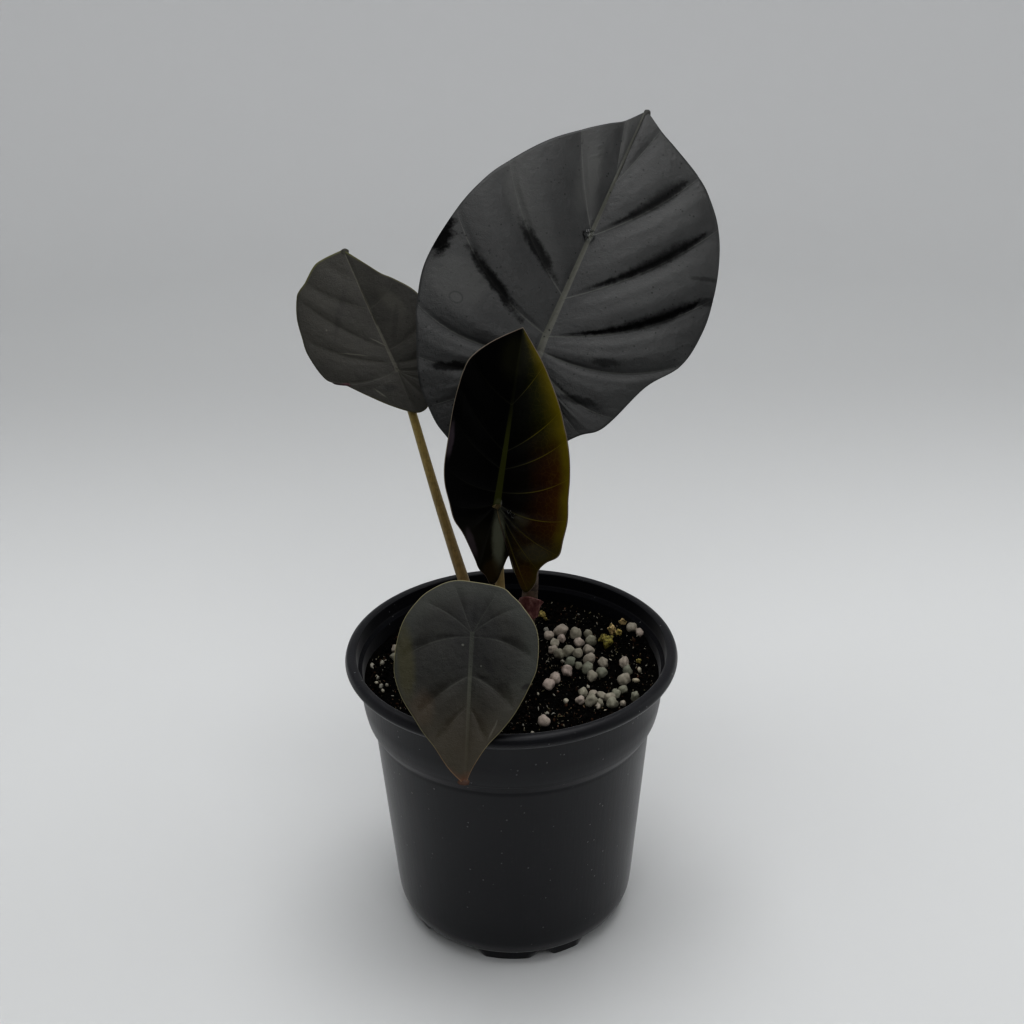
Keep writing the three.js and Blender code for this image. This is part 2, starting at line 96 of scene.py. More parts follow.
class Finish:
    """A Principled material, with short calls that add nodes to it."""

    def __init__(self, name, roughness=0.5, specular=0.5):
        self.material = bpy.data.materials.new(name)
        self.material.use_nodes = True
        self.nodes = self.material.node_tree.nodes
        self.links = self.material.node_tree.links
        self.shader = self.nodes["Principled BSDF"]
        self.roughness(roughness)
        self.specular(specular)
        self.place = self.add("ShaderNodeTexCoord").outputs["Object"]
        self.relief = None

    def add(self, kind, **values):
        node = self.nodes.new(kind)
        for key, value in values.items():
            setattr(node, key, value)
        return node

    def feed(self, socket, value):
        """Links a node's output to a socket, or sets the socket to a number or colour."""
        if isinstance(value, Number):
            value = value.socket
        if isinstance(value, bpy.types.NodeSocket):
            self.links.new(value, socket)
        else:
            socket.default_value = (*value, 1) if isinstance(value, tuple) else value

    def noise(self, per_mm, detail=3, roughness=0.55, vector=None):
        """Noise from 0 to 1 whose features are about 1 / per_mm millimetres wide."""
        node = self.add("ShaderNodeTexNoise")
        self.feed(node.inputs["Vector"], vector or self.place)
        self.feed(node.inputs["Scale"], per_mm * (1 if vector else 1 / MM))
        self.feed(node.inputs["Detail"], detail)
        self.feed(node.inputs["Roughness"], roughness)
        return Number(self, node.outputs["Fac"])

    def cells(self, per_mm, feature="F1"):
        """Distance from the middles of random cells, or from their walls."""
        node = self.add("ShaderNodeTexVoronoi", feature=feature)
        self.feed(node.inputs["Vector"], self.place)
        self.feed(node.inputs["Scale"], per_mm / MM)
        return Number(self, node.outputs["Distance"])

    def stretched(self, x, y, z):
        node = self.add("ShaderNodeMapping")
        self.feed(node.inputs["Vector"], self.place)
        node.inputs["Scale"].default_value = (x / MM, y / MM, z / MM)
        return node.outputs["Vector"]

    def value(self, name):
        """A number that the mesh carries for each of its points."""
        return Number(self, self.add("ShaderNodeAttribute", attribute_name=name).outputs["Fac"])

    def leaf_place(self):
        """A leaf's own coordinates: X along it and Y across it in millimetres, Z its place among the rows."""
        return self.add("ShaderNodeAttribute", attribute_name="flat").outputs["Vector"]

    def axis(self, name, vector=None):
        node = self.add("ShaderNodeSeparateXYZ")
        self.feed(node.inputs[0], vector or self.place)
        return Number(self, node.outputs[name])

    def reach(self, vector):
        """Distance of a place from the Z axis of its coordinates."""
        level = self.add("ShaderNodeVectorMath", operation="MULTIPLY")
        self.feed(level.inputs[0], vector)
        level.inputs[1].default_value = (1, 1, 0)
        length = self.add("ShaderNodeVectorMath", operation="LENGTH")
        self.feed(length.inputs[0], level.outputs["Vector"])
        return Number(self, length.outputs["Value"])

    def oval(self, centre, radii, turn=0, ragged=0.3, soft=0.5):
        """1 inside an oval of a leaf, 0 outside; turn is from the leaf's length towards its right."""
        node = self.add("ShaderNodeMapping", vector_type="TEXTURE")
        self.feed(node.inputs["Vector"], self.leaf_place())
        node.inputs["Location"].default_value = (*centre, 0)
        node.inputs["Rotation"].default_value = (0, 0, math.radians(turn))
        node.inputs["Scale"].default_value = (*radii, 1)
        wobble = (self.noise(0.35, 5, 0.7) - 0.5) * (2 * ragged)
        return self.fade(self.reach(node.outputs["Vector"]) + wobble, 1 - soft, 1 + soft / 2, 1, 0)

    def lay_ovals(self, skin, *ovals):
        """Lays soft ovals on a leaf's skin, each one as (centre, radii, turn, colour, amount)."""
        for centre, radii, turn, colour, amount in ovals:
            skin = self.mix(self.oval(centre, radii, turn) * amount, skin, colour)
        return skin

    def near_edge(self, start_mm, end_mm, amount=1):
        """The amount as far as start_mm from a leaf's margin, fading to 0 at end_mm."""
        return self.fade(self.value("edge_mm"), start_mm, end_mm, amount, 0)

    def maths(self, operation, a, b=0.0, clamp=False):
        node = self.add("ShaderNodeMath", operation=operation, use_clamp=clamp)
        self.feed(node.inputs[0], a)
        self.feed(node.inputs[1], b)
        return Number(self, node.outputs[0])

    def fade(self, value, low, high, out_low=0.0, out_high=1.0):
        """A smooth step from out_low at low to out_high at high."""
        node = self.add("ShaderNodeMapRange", interpolation_type="SMOOTHSTEP")
        for socket, number in zip(node.inputs, (value, low, high, out_low, out_high)):
            self.feed(socket, number)
        return Number(self, node.outputs[0])

    def mix(self, share, first, second):
        """The first colour where the share is 0, the second where it is 1."""
        node = self.add("ShaderNodeMix", data_type="RGBA")
        self.feed(node.inputs[0], share)
        self.feed(node.inputs[6], first)
        self.feed(node.inputs[7], second)
        return node.outputs[2]

    def ramp(self, value, *stops):
        node = self.add("ShaderNodeValToRGB")
        self.feed(node.inputs[0], value)
        stretch = node.color_ramp.elements
        while len(stretch) < len(stops):
            stretch.new(1)
        for element, (at, colour) in zip(stretch, stops):
            element.position = at
            element.color = (*colour, 1)
        return node.outputs["Color"]

    def set(self, name, value):
        self.feed(self.shader.inputs[name], value)

    def colour(self, value):
        self.set("Base Color", value)

    def roughness(self, value):
        self.set("Roughness", value)

    def specular(self, value):
        self.set("Specular IOR Level", value)

    def bump(self, height, depth_mm):
        """Adds a fine relief, depth_mm deep for a height from 0 to 1."""
        node = self.add("ShaderNodeBump")
        self.feed(node.inputs["Distance"], depth_mm * MM)
        self.feed(node.inputs["Height"], height)
        if self.relief:
            self.links.new(self.relief, node.inputs["Normal"])
        self.relief = node.outputs["Normal"]
        self.links.new(self.relief, self.shader.inputs["Normal"])


# Painted highlights: pale lines round the pot along the edges at the collar's foot and under the lip, as
# (height, half width, amount), then heights that change its gloss
EDGE_HIGHLIGHT_LINES = ((77.7, 0.3, 0.42), (95.1, 0.35, 0.4))
LIP_START = 94.4
COLLAR_SLOPE = 75.6


def pot_finish():
    """Satin black moulded plastic with flow marks, dust and dried water spots, and pale lines painted along
    two edges as painted highlights.
    """
    finish = Finish("pot_satin_plastic", 0.4)
    cloud = finish.noise(0.04, 4)
    streak = finish.noise(1, 3, vector=finish.stretched(0.9, 0.9, 0.03))
    skin = finish.mix(cloud, (0.005, 0.0052, 0.0078), (0.0088, 0.009, 0.0125))
    dust = finish.fade(finish.noise(0.6, 6, 0.7), 0.56, 0.8)
    skin = finish.mix(dust * 0.22, skin, (0.09, 0.088, 0.085))
    chosen = finish.fade(finish.noise(0.08, 3), 0.46, 0.56)
    spots = finish.fade(finish.cells(0.32), 0.06, 0.11, 1, 0) * chosen * 0.85
    skin = finish.mix(spots, skin, (0.11, 0.11, 0.11))
    height = finish.axis("Z")
    # Painted highlights: pale lines along the edges at the collar's foot and under the lip.
    for level, half_width, amount in EDGE_HIGHLIGHT_LINES:
        line = finish.fade(abs(height - level * MM), 0.3 * half_width * MM, half_width * MM, amount, 0)
        skin = finish.mix(line * finish.fade(cloud, 0.35, 0.55, 0.3, 1), skin, (0.075, 0.075, 0.078))
    finish.colour(skin)
    lip = finish.fade(height, LIP_START * MM, 96.5 * MM, 0, 0.05)
    finish.roughness(0.3 + cloud * 0.16 + streak * 0.08 + lip + dust * 0.1)
    finish.bump(finish.noise(1.6, 3), 0.02)
    finish.bump(streak, 0.03)
    finish.bump(spots, 0.12)
    wall = finish.fade(height, 93.4 * MM, 94.6 * MM, 48.9 * MM, 50.5 * MM)
    inside = finish.maths("LESS_THAN", finish.reach(finish.place), wall)
    dulled = 0.45 * (inside * finish.fade(height, 84.5 * MM, 85 * MM))
    dulled = finish.maths("MAXIMUM", dulled, finish.fade(height, 95.5 * MM, 97 * MM, 0, 0.12))
    slope = finish.fade(abs(height - COLLAR_SLOPE * MM), 1.3 * MM, 3.4 * MM, 0.33, 0)
    finish.specular(0.55 - finish.maths("MAXIMUM", dulled, slope))
    finish.set("Sheen Weight", 0.3)
    finish.set("Sheen Roughness", 0.35)
    return finish.material


def soil_finish():
    """Moist black peat with fine fibres, and painted highlights: pale specks painted as glints."""
    finish = Finish("soil_peat", 0.7, 0.1)
    peat = finish.ramp(
        finish.noise(0.25, 6, 0.7), (0.35, (0.0009, 0.0008, 0.0007)), (0.6, (0.0026, 0.0019, 0.0014)),
        (0.8, (0.007, 0.0045, 0.003)))
    # Painted highlights: small pale specks painted into the peat as glints.
    grain = finish.fade(finish.cells(2.6), 0.14, 0.24, 1, 0)
    few = finish.fade(finish.noise(1.3, 2), 0.58, 0.62)
    finish.colour(finish.mix(grain * few, peat, (0.16, 0.14, 0.1)))
    finish.bump(finish.noise(1.4, 5, 0.7), 0.7)
    finish.bump(finish.noise(5, 3, 0.7), 0.25)
    return finish.material


def crumb_finish():
    """Crumbs: nearly all black and moist, a few brown, reddish or grey."""
    finish = Finish("soil_crumbs", 0.6, 0.12)
    finish.colour(finish.ramp(
        finish.value("tone") * 0.8 + finish.noise(1.6, 4, 0.7) * 0.2, (0.3, (0.0008, 0.0007, 0.0006)),
        (0.68, (0.0032, 0.0023, 0.0017)), (0.82, (0.014, 0.0085, 0.0055)), (0.9, (0.06, 0.03, 0.017))))
    finish.bump(finish.noise(3.5, 4), 0.2)
    return finish.material


def grain_and_glint_finish():
    """Pale specks among the peat: tan, olive, reddish and grey, partly real pale grains and partly painted
    highlights standing in for glints.
    """
    finish = Finish("soil_pale_grains_and_glints")
    finish.colour(finish.ramp(
        finish.value("tone"), (0, (0.15, 0.075, 0.05)), (0.3, (0.13, 0.12, 0.06)), (0.5, (0.2, 0.18, 0.13)),
        (0.8, (0.32, 0.31, 0.27)), (1, (0.48, 0.44, 0.34))))
    finish.bump(finish.noise(3, 3), 0.1)
    return finish.material


def prill_finish():
    """Chalky coated prills, pinkish white to greenish grey, with dirt in their hollows."""
    finish = Finish("prill_coating", 0.72, 0.35)
    tone = finish.ramp(finish.value("tone"), (0, (0.21, 0.225, 0.18)), (0.35, (0.31, 0.3, 0.24)),
                       (0.7, (0.42, 0.37, 0.32)), (1, (0.5, 0.42, 0.38)))
    mottle = finish.noise(0.8, 4, 0.65)
    chalky = finish.mix(finish.fade(mottle, 0.35, 0.7), finish.mix(0.4, tone, (0.16, 0.15, 0.12)), tone)
    dirt = finish.fade(finish.noise(0.55, 5, 0.75), 0.6, 0.72) * 0.7
    finish.colour(finish.mix(dirt, chalky, (0.045, 0.035, 0.025)))
    finish.bump(mottle, 0.22)
    finish.bump(finish.noise(4, 3), 0.05)
    return finish.material


def yellow_finish():
    """Crusty yellow-green bits, darker in their hollows."""
    finish = Finish("yellow_grain", 0.7, 0.35)
    tone = finish.ramp(finish.value("tone"), (0, (0.24, 0.23, 0.045)), (0.6, (0.42, 0.34, 0.13)),
                       (1, (0.58, 0.45, 0.25)))
    finish.colour(finish.mix(finish.fade(finish.noise(1, 3), 0.35, 0.6), (0.09, 0.08, 0.025), tone))
    finish.bump(finish.noise(1.5, 4), 0.3)
    return finish.material


def stalk_finish(name, top, low, mottle_amount):
    """Fleshy stalk with lengthwise lines, its colour changing from low to top."""
    finish = Finish(name, 0.42, 0.45)
    skin = finish.mix(finish.value("rise"), low, top)
    line = finish.noise(1, 4, vector=finish.stretched(2.2, 2.2, 0.12))
    skin = finish.mix(finish.fade(line, 0.35, 0.7, 0, 0.6), skin, finish.mix(0.4, skin, (0.03, 0.02, 0.012)))
    bands = finish.noise(1, 3, 0.6, vector=finish.stretched(0.2, 0.2, 0.7))
    finish.colour(finish.mix(finish.fade(bands, 0.48, 0.62) * mottle_amount, skin, (0.028, 0.016, 0.01)))
    finish.bump(line, 0.12)
    return finish.material


def stem_finish():
    finish = Finish("stem_bark", 0.65, 0.35)
    rings = finish.noise(1, 4, vector=finish.stretched(0.12, 0.12, 1.1))
    finish.colour(finish.ramp(rings, (0.3, (0.02, 0.012, 0.007)), (0.55, (0.055, 0.037, 0.018)),
                              (0.75, (0.11, 0.085, 0.045))))
    finish.bump(rings, 0.4)
    return finish.material


def sheath_finish():
    """Dry maroon skin with pink patches and fine lines."""
    finish = Finish("sheath_papery", 0.6, 0.35)
    line = finish.noise(1, 4, vector=finish.stretched(0.7, 0.7, 0.2))
    finish.colour(finish.ramp(
        line * 0.4 + finish.noise(0.5, 4, 0.7) * 0.6,
        (0.36, (0.07, 0.022, 0.024)), (0.5, (0.15, 0.065, 0.06)), (0.64, (0.3, 0.18, 0.16))))
    finish.bump(line, 0.2)
    return finish.material


def leather_relief(finish, grain=1.0):
    """Fine leaf skin: a cell grain and shallow quilting between the side veins."""
    finish.bump(finish.noise(0.45, 4, 0.6), 0.25 * grain)
    finish.bump(finish.noise(2.6, 4, 0.6), 0.05 * grain)
    finish.bump(finish.fade(finish.cells(1.9, "DISTANCE_TO_EDGE"), 0, 0.12), 0.02 * grain)


def vein_share(finish, width_mm, strength):
    """How much of a main vein's line shows: full on the vein, thinning out towards the margin."""
    width = finish.fade(finish.value("edge_mm"), 0.5, 14, 0.25, 1) * width_mm
    return finish.fade(finish.maths("DIVIDE", finish.value("vein_mm"), width), 0.35, 1.0, strength, 0)


def rib_share(finish):
    """1 on the midrib's strip, 0 off it; the mesh carries the distance in strip widths."""
    return finish.fade(finish.value("rib"), 0.8, 1.08, 1, 0)


def leaf_upper(finish, dark, light, vein, rib, speck):
    """Upper skin of a mature leaf: near black, with paler veins, a paler strip and dark specks."""
    skin = finish.mix(finish.fade(finish.noise(0.06, 5, 0.6), 0.3, 0.7), dark, light)
    skin = finish.mix(vein_share(finish, 0.36, 0.6), skin, vein)
    skin = finish.mix(rib_share(finish) * 0.9, skin, rib)
    size = finish.fade(finish.noise(0.3, 1), 0.36, 0.64, 0.05, 0.17)
    spot = finish.maths("LESS_THAN", finish.cells(0.5), size)
    leather_relief(finish)
    return finish.mix(spot * speck, skin, (0.004, 0.004, 0.004))


def leather_gloss(finish, rough):
    """The skin's uneven sheen."""
    finish.roughness(rough - 0.08 + finish.noise(0.12, 4) * 0.16)


def leaf_row(finish):
    """The place among a leaf's rows: odd on its main veins, even half way between them."""
    return finish.axis("Z", finish.leaf_place())


def row_share(finish, shift=0.0):
    """0 at each main vein, moved by shift towards the tip, rising to 1 at the next."""
    return finish.maths("FRACT", (leaf_row(finish) - 1) * 0.5 - shift)


def vein_shade_share(finish, shift, widest, start, end):
    """Painted shade: a dark band beside each main vein where its hollow falls in shade, widest about two
    thirds of the way from start to end.
    """
    away = abs(row_share(finish, shift - 0.5) - 0.5)
    ragged = (finish.noise(0.45, 5, 0.7) - 0.5) * 0.16
    out = abs(finish.value("across"))
    middle = 0.35 * start + 0.65 * end
    width = finish.fade(out, start, middle, 0.25, 1) * finish.fade(out, middle, end, 1, 0.3) * widest
    ends = finish.fade(out, start - 0.1, start + 0.1) * finish.fade(out, end - 0.05, end, 1, 0)
    return finish.fade(away + ragged, 0, width, 1, 0) * ends


def leaf_under(name, skin, vein):
    """Underside: dull purple with paler raised veins and a dark margin."""
    finish = Finish(name, 0.55, 0.4)
    dark = tuple(0.6 * channel for channel in skin)
    skin = finish.mix(finish.fade(finish.noise(0.1, 4, 0.6), 0.3, 0.7), dark, skin)
    skin = finish.mix(vein_share(finish, 0.9, 0.7), skin, vein)
    skin = finish.mix(rib_share(finish), skin, vein)
    finish.colour(finish.mix(finish.near_edge(1, 3.5, 0.95), skin, (0.026, 0.021, 0.018)))
    leather_relief(finish, 0.7)
    return finish.material


def leaf_rim(name, colour):
    finish = Finish(name, 0.5, 0.4)
    finish.colour(finish.mix(finish.noise(0.3, 3), colour, tuple(0.5 * channel for channel in colour)))
    finish.bump(finish.noise(3, 2), 0.03)
    return finish.material


# Painted shade: black patches painted where the big leaf's hollows fall in shade, as (centre, radii, turn,
# amount), and its ring-shaped mark
BIG_LEAF_SHADE_PATCHES = (
    ((31.5, -14), (10.5, 2.1), -56, 0.78), ((16.2, -21.9), (14.5, 1.9), -60, 0.86),
    ((22.5, -42), (6.5, 3.4), 0, 1), ((-13, -23.2), (7.5, 1.5), 63, 0.85),
    ((7.5, 19.5), (5.5, 1.4), 70, 0.55), ((-6.4, 16.9), (8, 1.4), 80, 0.6),
    ((-19.2, -27.3), (8, 4), 60, 0.35), ((45, 37.5), (5, 0.9), 70, 0.35),
    ((39, 41.5), (5, 1.6), 60, 0.5))
RING_CENTRE = (6.6, -30.4)


def big_upper():
    """The big leaf: grey satin, with painted shade in black bands along its veins' hollows and painted
    highlights on paler panels between them.
    """
    finish = Finish("big_leaf_skin")
    skin = leaf_upper(finish, (0.029, 0.0295, 0.0295), (0.044, 0.045, 0.0445), (0.105, 0.107, 0.098),
                      (0.098, 0.098, 0.082), 0.8)
    across = finish.value("across")
    row = leaf_row(finish)
    left = finish.fade(across, -0.12, -0.05, 1, 0)
    # Painted highlight: panels on the left half are painted paler where they face the light.
    panel = finish.fade(row_share(finish), 0.02, 0.5, 1, 0) * finish.fade(row, 9, 10)
    skin = finish.mix(panel * left * 0.4, skin, (0.075, 0.076, 0.073))
    pale = (0.07, 0.071, 0.068)
    skin = finish.lay_ovals(
        skin, ((11, -32), (9, 11), 0, pale, 0.55), ((60, -8.5), (13, 4), -8, pale, 0.55),
        ((44, -26), (11, 4), -38, pale, 0.55))
    # Painted shade: black bands beside the right half's veins and black patches in its hollows, with their
    # gloss dimmed.
    right = finish.maths("GREATER_THAN", across, 0)
    middle = finish.fade(row, 13.6, 14.6, 1, 0) * finish.fade(row, 7.9, 8.5)
    middle *= finish.fade(row, 9.5, 13, 1, 0.72)
    shade = right * middle * vein_shade_share(finish, 0.07, 0.2, 0.15, 0.93)
    for centre, radii, turn, amount in BIG_LEAF_SHADE_PATCHES:
        shade = finish.maths("MAXIMUM", shade, finish.oval(centre, radii, turn, 0.9) * amount)
    skin = finish.mix(shade * 0.96, skin, (0.0016, 0.0016, 0.002))
    ring = finish.maths("SUBTRACT", finish.oval(RING_CENTRE, (2, 2.4), 0, 0.05, 0.15),
                        finish.oval(RING_CENTRE, (1.5, 1.9), 0, 0.05, 0.15), True)
    finish.colour(finish.mix(ring * 0.5, skin, (0.006, 0.006, 0.006)))
    leather_gloss(finish, 0.42)
    finish.specular(0.5 - shade * 0.44)
    return finish.material


def left_upper():
    """The left leaf: brownish grey, with a narrow pale margin and fine scratches."""
    finish = Finish("left_leaf_skin", specular=0.45)
    skin = leaf_upper(finish, (0.028, 0.0265, 0.022), (0.046, 0.044, 0.037), (0.058, 0.056, 0.046),
                      (0.085, 0.081, 0.066), 0.4)
    skin = finish.mix(finish.near_edge(0.15, 0.5), skin, (0.075, 0.07, 0.035))
    scratch = (0.15, 0.145, 0.12)
    skin = finish.lay_ovals(
        skin, ((10.5, -10.2), (5, 0.22), 122, scratch, 0.5), ((10.8, -1.7), (3, 0.22), 142, scratch, 0.45),
        ((21.7, -15.2), (0.35, 0.3), 0, (0.16, 0.155, 0.13), 0.55),
        ((-4.3, -7.9), (2.6, 0.3), 150, scratch, 0.5),
        ((-0.8, -4.6), (1.6, 4), 20, (0.065, 0.063, 0.055), 0.5),
        ((-4.3, -4.4), (1.2, 2.4), 20, (0.012, 0.012, 0.01), 0.6),
        ((25, -9), (9, 1.2), 35, (0.018, 0.017, 0.014), 0.4),
        ((20, 8), (7, 2.4), -20, (0.07, 0.068, 0.056), 0.45),
        ((14, 6), (6, 1.1), 30, (0.02, 0.019, 0.016), 0.5))
    tip = finish.fade(finish.axis("X", finish.leaf_place()), 34, 43)
    finish.colour(finish.mix(tip * finish.near_edge(0.25, 0.8), skin, (0.1, 0.1, 0.04)))
    leather_gloss(finish, 0.56)
    return finish.material


def low_upper():
    """The oldest leaf: greyer, browner below, with a dry brown tip, a pale margin and painted shade beside
    its veins.
    """
    finish = Finish("low_leaf_skin", specular=0.45)
    skin = leaf_upper(finish, (0.012, 0.0122, 0.0105), (0.023, 0.0228, 0.0185), (0.05, 0.051, 0.042),
                      (0.062, 0.066, 0.05), 0.5)
    # Painted shade: dark bands beside the veins where their hollows fall in shade, with their gloss dimmed.
    hollow = vein_shade_share(finish, -0.1, 0.22, 0.1, 0.9) * finish.fade(leaf_row(finish), 3.5, 5, 0.4, 1)
    hollow *= finish.fade(finish.noise(0.12, 3), 0.38, 0.6, 0.35, 1)
    skin = finish.mix(hollow * 0.5, skin, (0.0065, 0.0065, 0.006))
    skin = finish.mix(finish.near_edge(1, 9, 0.6), skin, (0.05, 0.054, 0.046))
    black = (0.003, 0.003, 0.003)
    white = (0.16, 0.16, 0.14)
    skin = finish.lay_ovals(
        skin, ((0, 0), (12, 9), 0, (0.009, 0.009, 0.009), 0.5),
        ((9, 19.5), (13, 3), -8, (0.05, 0.045, 0.014), 0.7),
        ((23, 13.7), (6, 4), 0, (0.06, 0.04, 0.024), 0.6), ((-5.4, -0.2), (2.6, 1.5), 0, black, 0.85),
        ((9.4, -5.5), (3.2, 1.4), -35, (0.004, 0.004, 0.004), 0.6), ((3.4, 2.6), (0.35, 0.45), 0, white, 0.6),
        ((9.5, -3.2), (0.3, 0.3), 0, (0.14, 0.14, 0.12), 0.6), ((15.1, -16.8), (1.5, 0.9), 60, black, 0.9),
        ((28.7, -7.3), (2.4, 0.3), 25, (0.18, 0.18, 0.16), 0.7), ((26.5, -8.4), (1.6, 0.25), 15, white, 0.6))
    spread = finish.axis("X", finish.leaf_place()) + finish.noise(0.15, 3) * 8
    skin = finish.mix(finish.fade(spread, 14, 40, 0, 0.65), skin, (0.07, 0.056, 0.036))
    skin = finish.mix(finish.fade(spread, 43.5, 48), skin, (0.15, 0.07, 0.042))
    margin = finish.mix(finish.fade(spread, 34, 46), (0.2, 0.185, 0.11), (0.24, 0.15, 0.085))
    finish.colour(finish.mix(finish.near_edge(0.12, 0.4), skin, margin))
    leather_gloss(finish, 0.5)
    finish.specular(0.45 - hollow * 0.2)
    return finish.material


def front_upper():
    """The young leaf: near black, with painted light: the olive and maroon glow of light coming through it at
    its right is painted into its colour, with a painted reflection and a painted highlight.
    """
    finish = Finish("front_leaf_skin", 0.3)
    along = finish.axis("X", finish.leaf_place())
    across = finish.value("across")
    cloud = finish.noise(0.1, 4, 0.6)
    shifted = across + (cloud - 0.5) * 0.22
    # Painted light: light coming through the right half, olive above and maroon below, painted into the
    # colour.
    upper = finish.ramp(
        shifted, (0.0, (0.0006, 0.0006, 0.0004)), (0.4, (0.003, 0.0038, 0.0006)),
        (0.66, (0.017, 0.018, 0.0008)), (0.86, (0.07, 0.057, 0.001)), (1.0, (0.12, 0.098, 0.002)))
    lower = finish.ramp(
        shifted, (0.0, (0.0006, 0.0006, 0.0004)), (0.35, (0.003, 0.002, 0.0008)),
        (0.6, (0.022, 0.0065, 0.0012)), (0.82, (0.045, 0.017, 0.001)), (0.95, (0.1, 0.078, 0.003)))
    skin = finish.mix(finish.fade(along + (cloud - 0.5) * 18, 12, 30), lower, upper)
    skin = finish.mix(finish.fade(along, -13, -2, 0.65, 0), skin, (0.014, 0.012, 0.005))
    # Among these ovals, the pale grey-green strip near the sinus is a painted reflection and the whitish spot
    # at the junction is a painted highlight.
    skin = finish.lay_ovals(
        skin, ((-3.8, 8), (2.4, 2.6), 0, (0.05, 0.047, 0.03), 0.45),
        ((-13.5, 13.5), (3.2, 5.4), -12, (0.055, 0.053, 0.036), 0.6),
        ((-22, 11.5), (4.5, 3.4), 0, (0.05, 0.026, 0.006), 0.7),
        ((-11.3, 2.1), (10.5, 2.1), -8, (0.1, 0.104, 0.078), 0.9),
        ((-22, 1.5), (4.5, 3), 0, (0.04, 0.026, 0.008), 0.6),
        ((-13.3, -6), (5.6, 1.3), 155, (0.07, 0.054, 0.062), 0.65),
        ((18.5, -17.2), (6, 1.1), 0, (0.07, 0.055, 0.065), 0.7),
        ((0, 0.3), (1.5, 1.2), 0, (0.34, 0.34, 0.3), 0.85), ((45, -1), (7, 5), 0, (0.014, 0.014, 0.006), 0.7))
    # Painted light: the right half's veinlets painted glowing yellow where light comes through.
    net = finish.fade(finish.cells(0.6, "DISTANCE_TO_EDGE"), 0, 0.07, 0.2, 0)
    skin = finish.mix(net * finish.fade(across, 0.2, 0.8), skin, (0.12, 0.09, 0.01))
    # Painted light: the main veins painted brighter towards the right, where light comes through.
    lit = finish.fade(across, -0.3, 0.75, 0.16, 1)
    line = vein_share(finish, 0.3, 0.9) * lit * finish.fade(leaf_row(finish), 8.2, 8.9, 0.6, 1)
    vein = finish.mix(finish.fade(across, 0.1, 0.8), (0.05, 0.05, 0.03), (0.13, 0.11, 0.008))
    skin = finish.mix(line, skin, vein)
    skin = finish.mix(rib_share(finish) * finish.fade(along, 18, 34, 0.9, 0.15), skin, (0.036, 0.04, 0.008))
    finish.colour(finish.mix(finish.near_edge(0.12, 0.35), skin, (0.15, 0.12, 0.1)))
    finish.specular(finish.fade(across, -0.3, 0.6, 0.12, 0.2))
    leather_relief(finish, 0.4)
    return finish.material


def water_finish():
    finish = Finish("water_drop", 0.02)
    finish.colour((0.9, 0.92, 0.92))
    finish.set("Transmission Weight", 1.0)
    finish.set("IOR", 1.33)
    return finish.material


def floor_finish():
    """Matt pale board with a faint mottle, with painted shade making it greyer where it runs back behind the
    plant.
    """
    finish = Finish("pale_floor", 0.8, 0.1)
    board = finish.mix(finish.noise(0.004, 3), (0.672, 0.679, 0.682), (0.692, 0.7, 0.703))
    depth = finish.axis("Y")
    # Painted shade: the floor painted greyer towards the back, where less light falls.
    grey = finish.mix(finish.fade(depth, 0.5, 1.2), (0.53, 0.536, 0.539), (0.59, 0.595, 0.602))
    finish.colour(finish.mix(finish.fade(depth, 0.16, 0.52), board, grey))
    return finish.material


# Pieces

def make_object(name, bm, materials=(), smooth=True):
    mesh = bpy.data.meshes.new(name)
    bm.to_mesh(mesh)
    bm.free()
    for material in materials:
        mesh.materials.append(material)
    if smooth:
        mesh.shade_smooth()
    made = bpy.data.objects.new(name, mesh)
    scene.collection.objects.link(made)
    return made


def add_piece(name, bm, materials, nodes=()):
    """Turns a bmesh into a smooth piece that rides on the root and may replace solids."""
    piece = make_object(name, bm, materials)
    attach(piece, "root")
    if nodes:
        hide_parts(*nodes)
    return piece


def smoothstep(value, low, high):
    share = min(1, max(0, (value - low) / (high - low)))
    return share * share * (3 - 2 * share)


# Pot, in millimetres: each corner of its section is (radius, height, rounding)
POT_SECTION = [
    (3.2, 4.0, 0), (33.6, 4.0, 0), (34.5, 3.6, 0.3), (34.8, 0, 0.25), (36.0, 0, 0.25), (36.3, 3.2, 0.4),
    (38.5, 5.0, 0.8), (40.0, 8.5, 1.2), (40.5, 12.5, 1.0), (45.6, 74.0, 0.8), (47.8, 77.5, 0.6),
    (48.4, 79.8, 0.8), (49.1, 84.0, 1.5), (49.4, 93.2, 0.4), (51.3, 94.6, 0.3), (51.4, 95.8, 0.15),
    (53.3, 95.9, 0.4), (54.2, 97.5, 0.6), (53.5, 99.4, 0.5), (52.4, 100.0, 0.4), (51.1, 100.0, 0.4),
    (50.4, 99.4, 0.3), (50.0, 94.9, 0.15), (48.7, 94.0, 0.15), (48.1, 84.4, 1.0), (46.8, 78.2, 0.5),
    (44.6, 74.6, 0.5), (39.5, 12.6, 0.8), (38.9, 9.0, 0.6), (36.8, 6.4, 0.6), (34.0, 5.4, 0), (3.2, 5.4, 0),
]
POT_STEPS = 288
FOOT_HEIGHT = 3.2
FOOT_INNER_RADIUS = 34
GAP_AZIMUTH = -36
GAP_HALF = 13
NOTCH_AZIMUTH = 14
NOTCH_HALF = 0.5
RAMP = 7.5
DRAIN_RADIUS = 3.2
DRAIN_CIRCLE = 25
BASE_MIDDLE = 4.7
SOIL_LEVEL = 90


def angle_from(azimuth, centre):
    """Degrees from the nearest of four places a quarter turn apart."""
    return abs((azimuth - centre + 45) % 90 - 45)


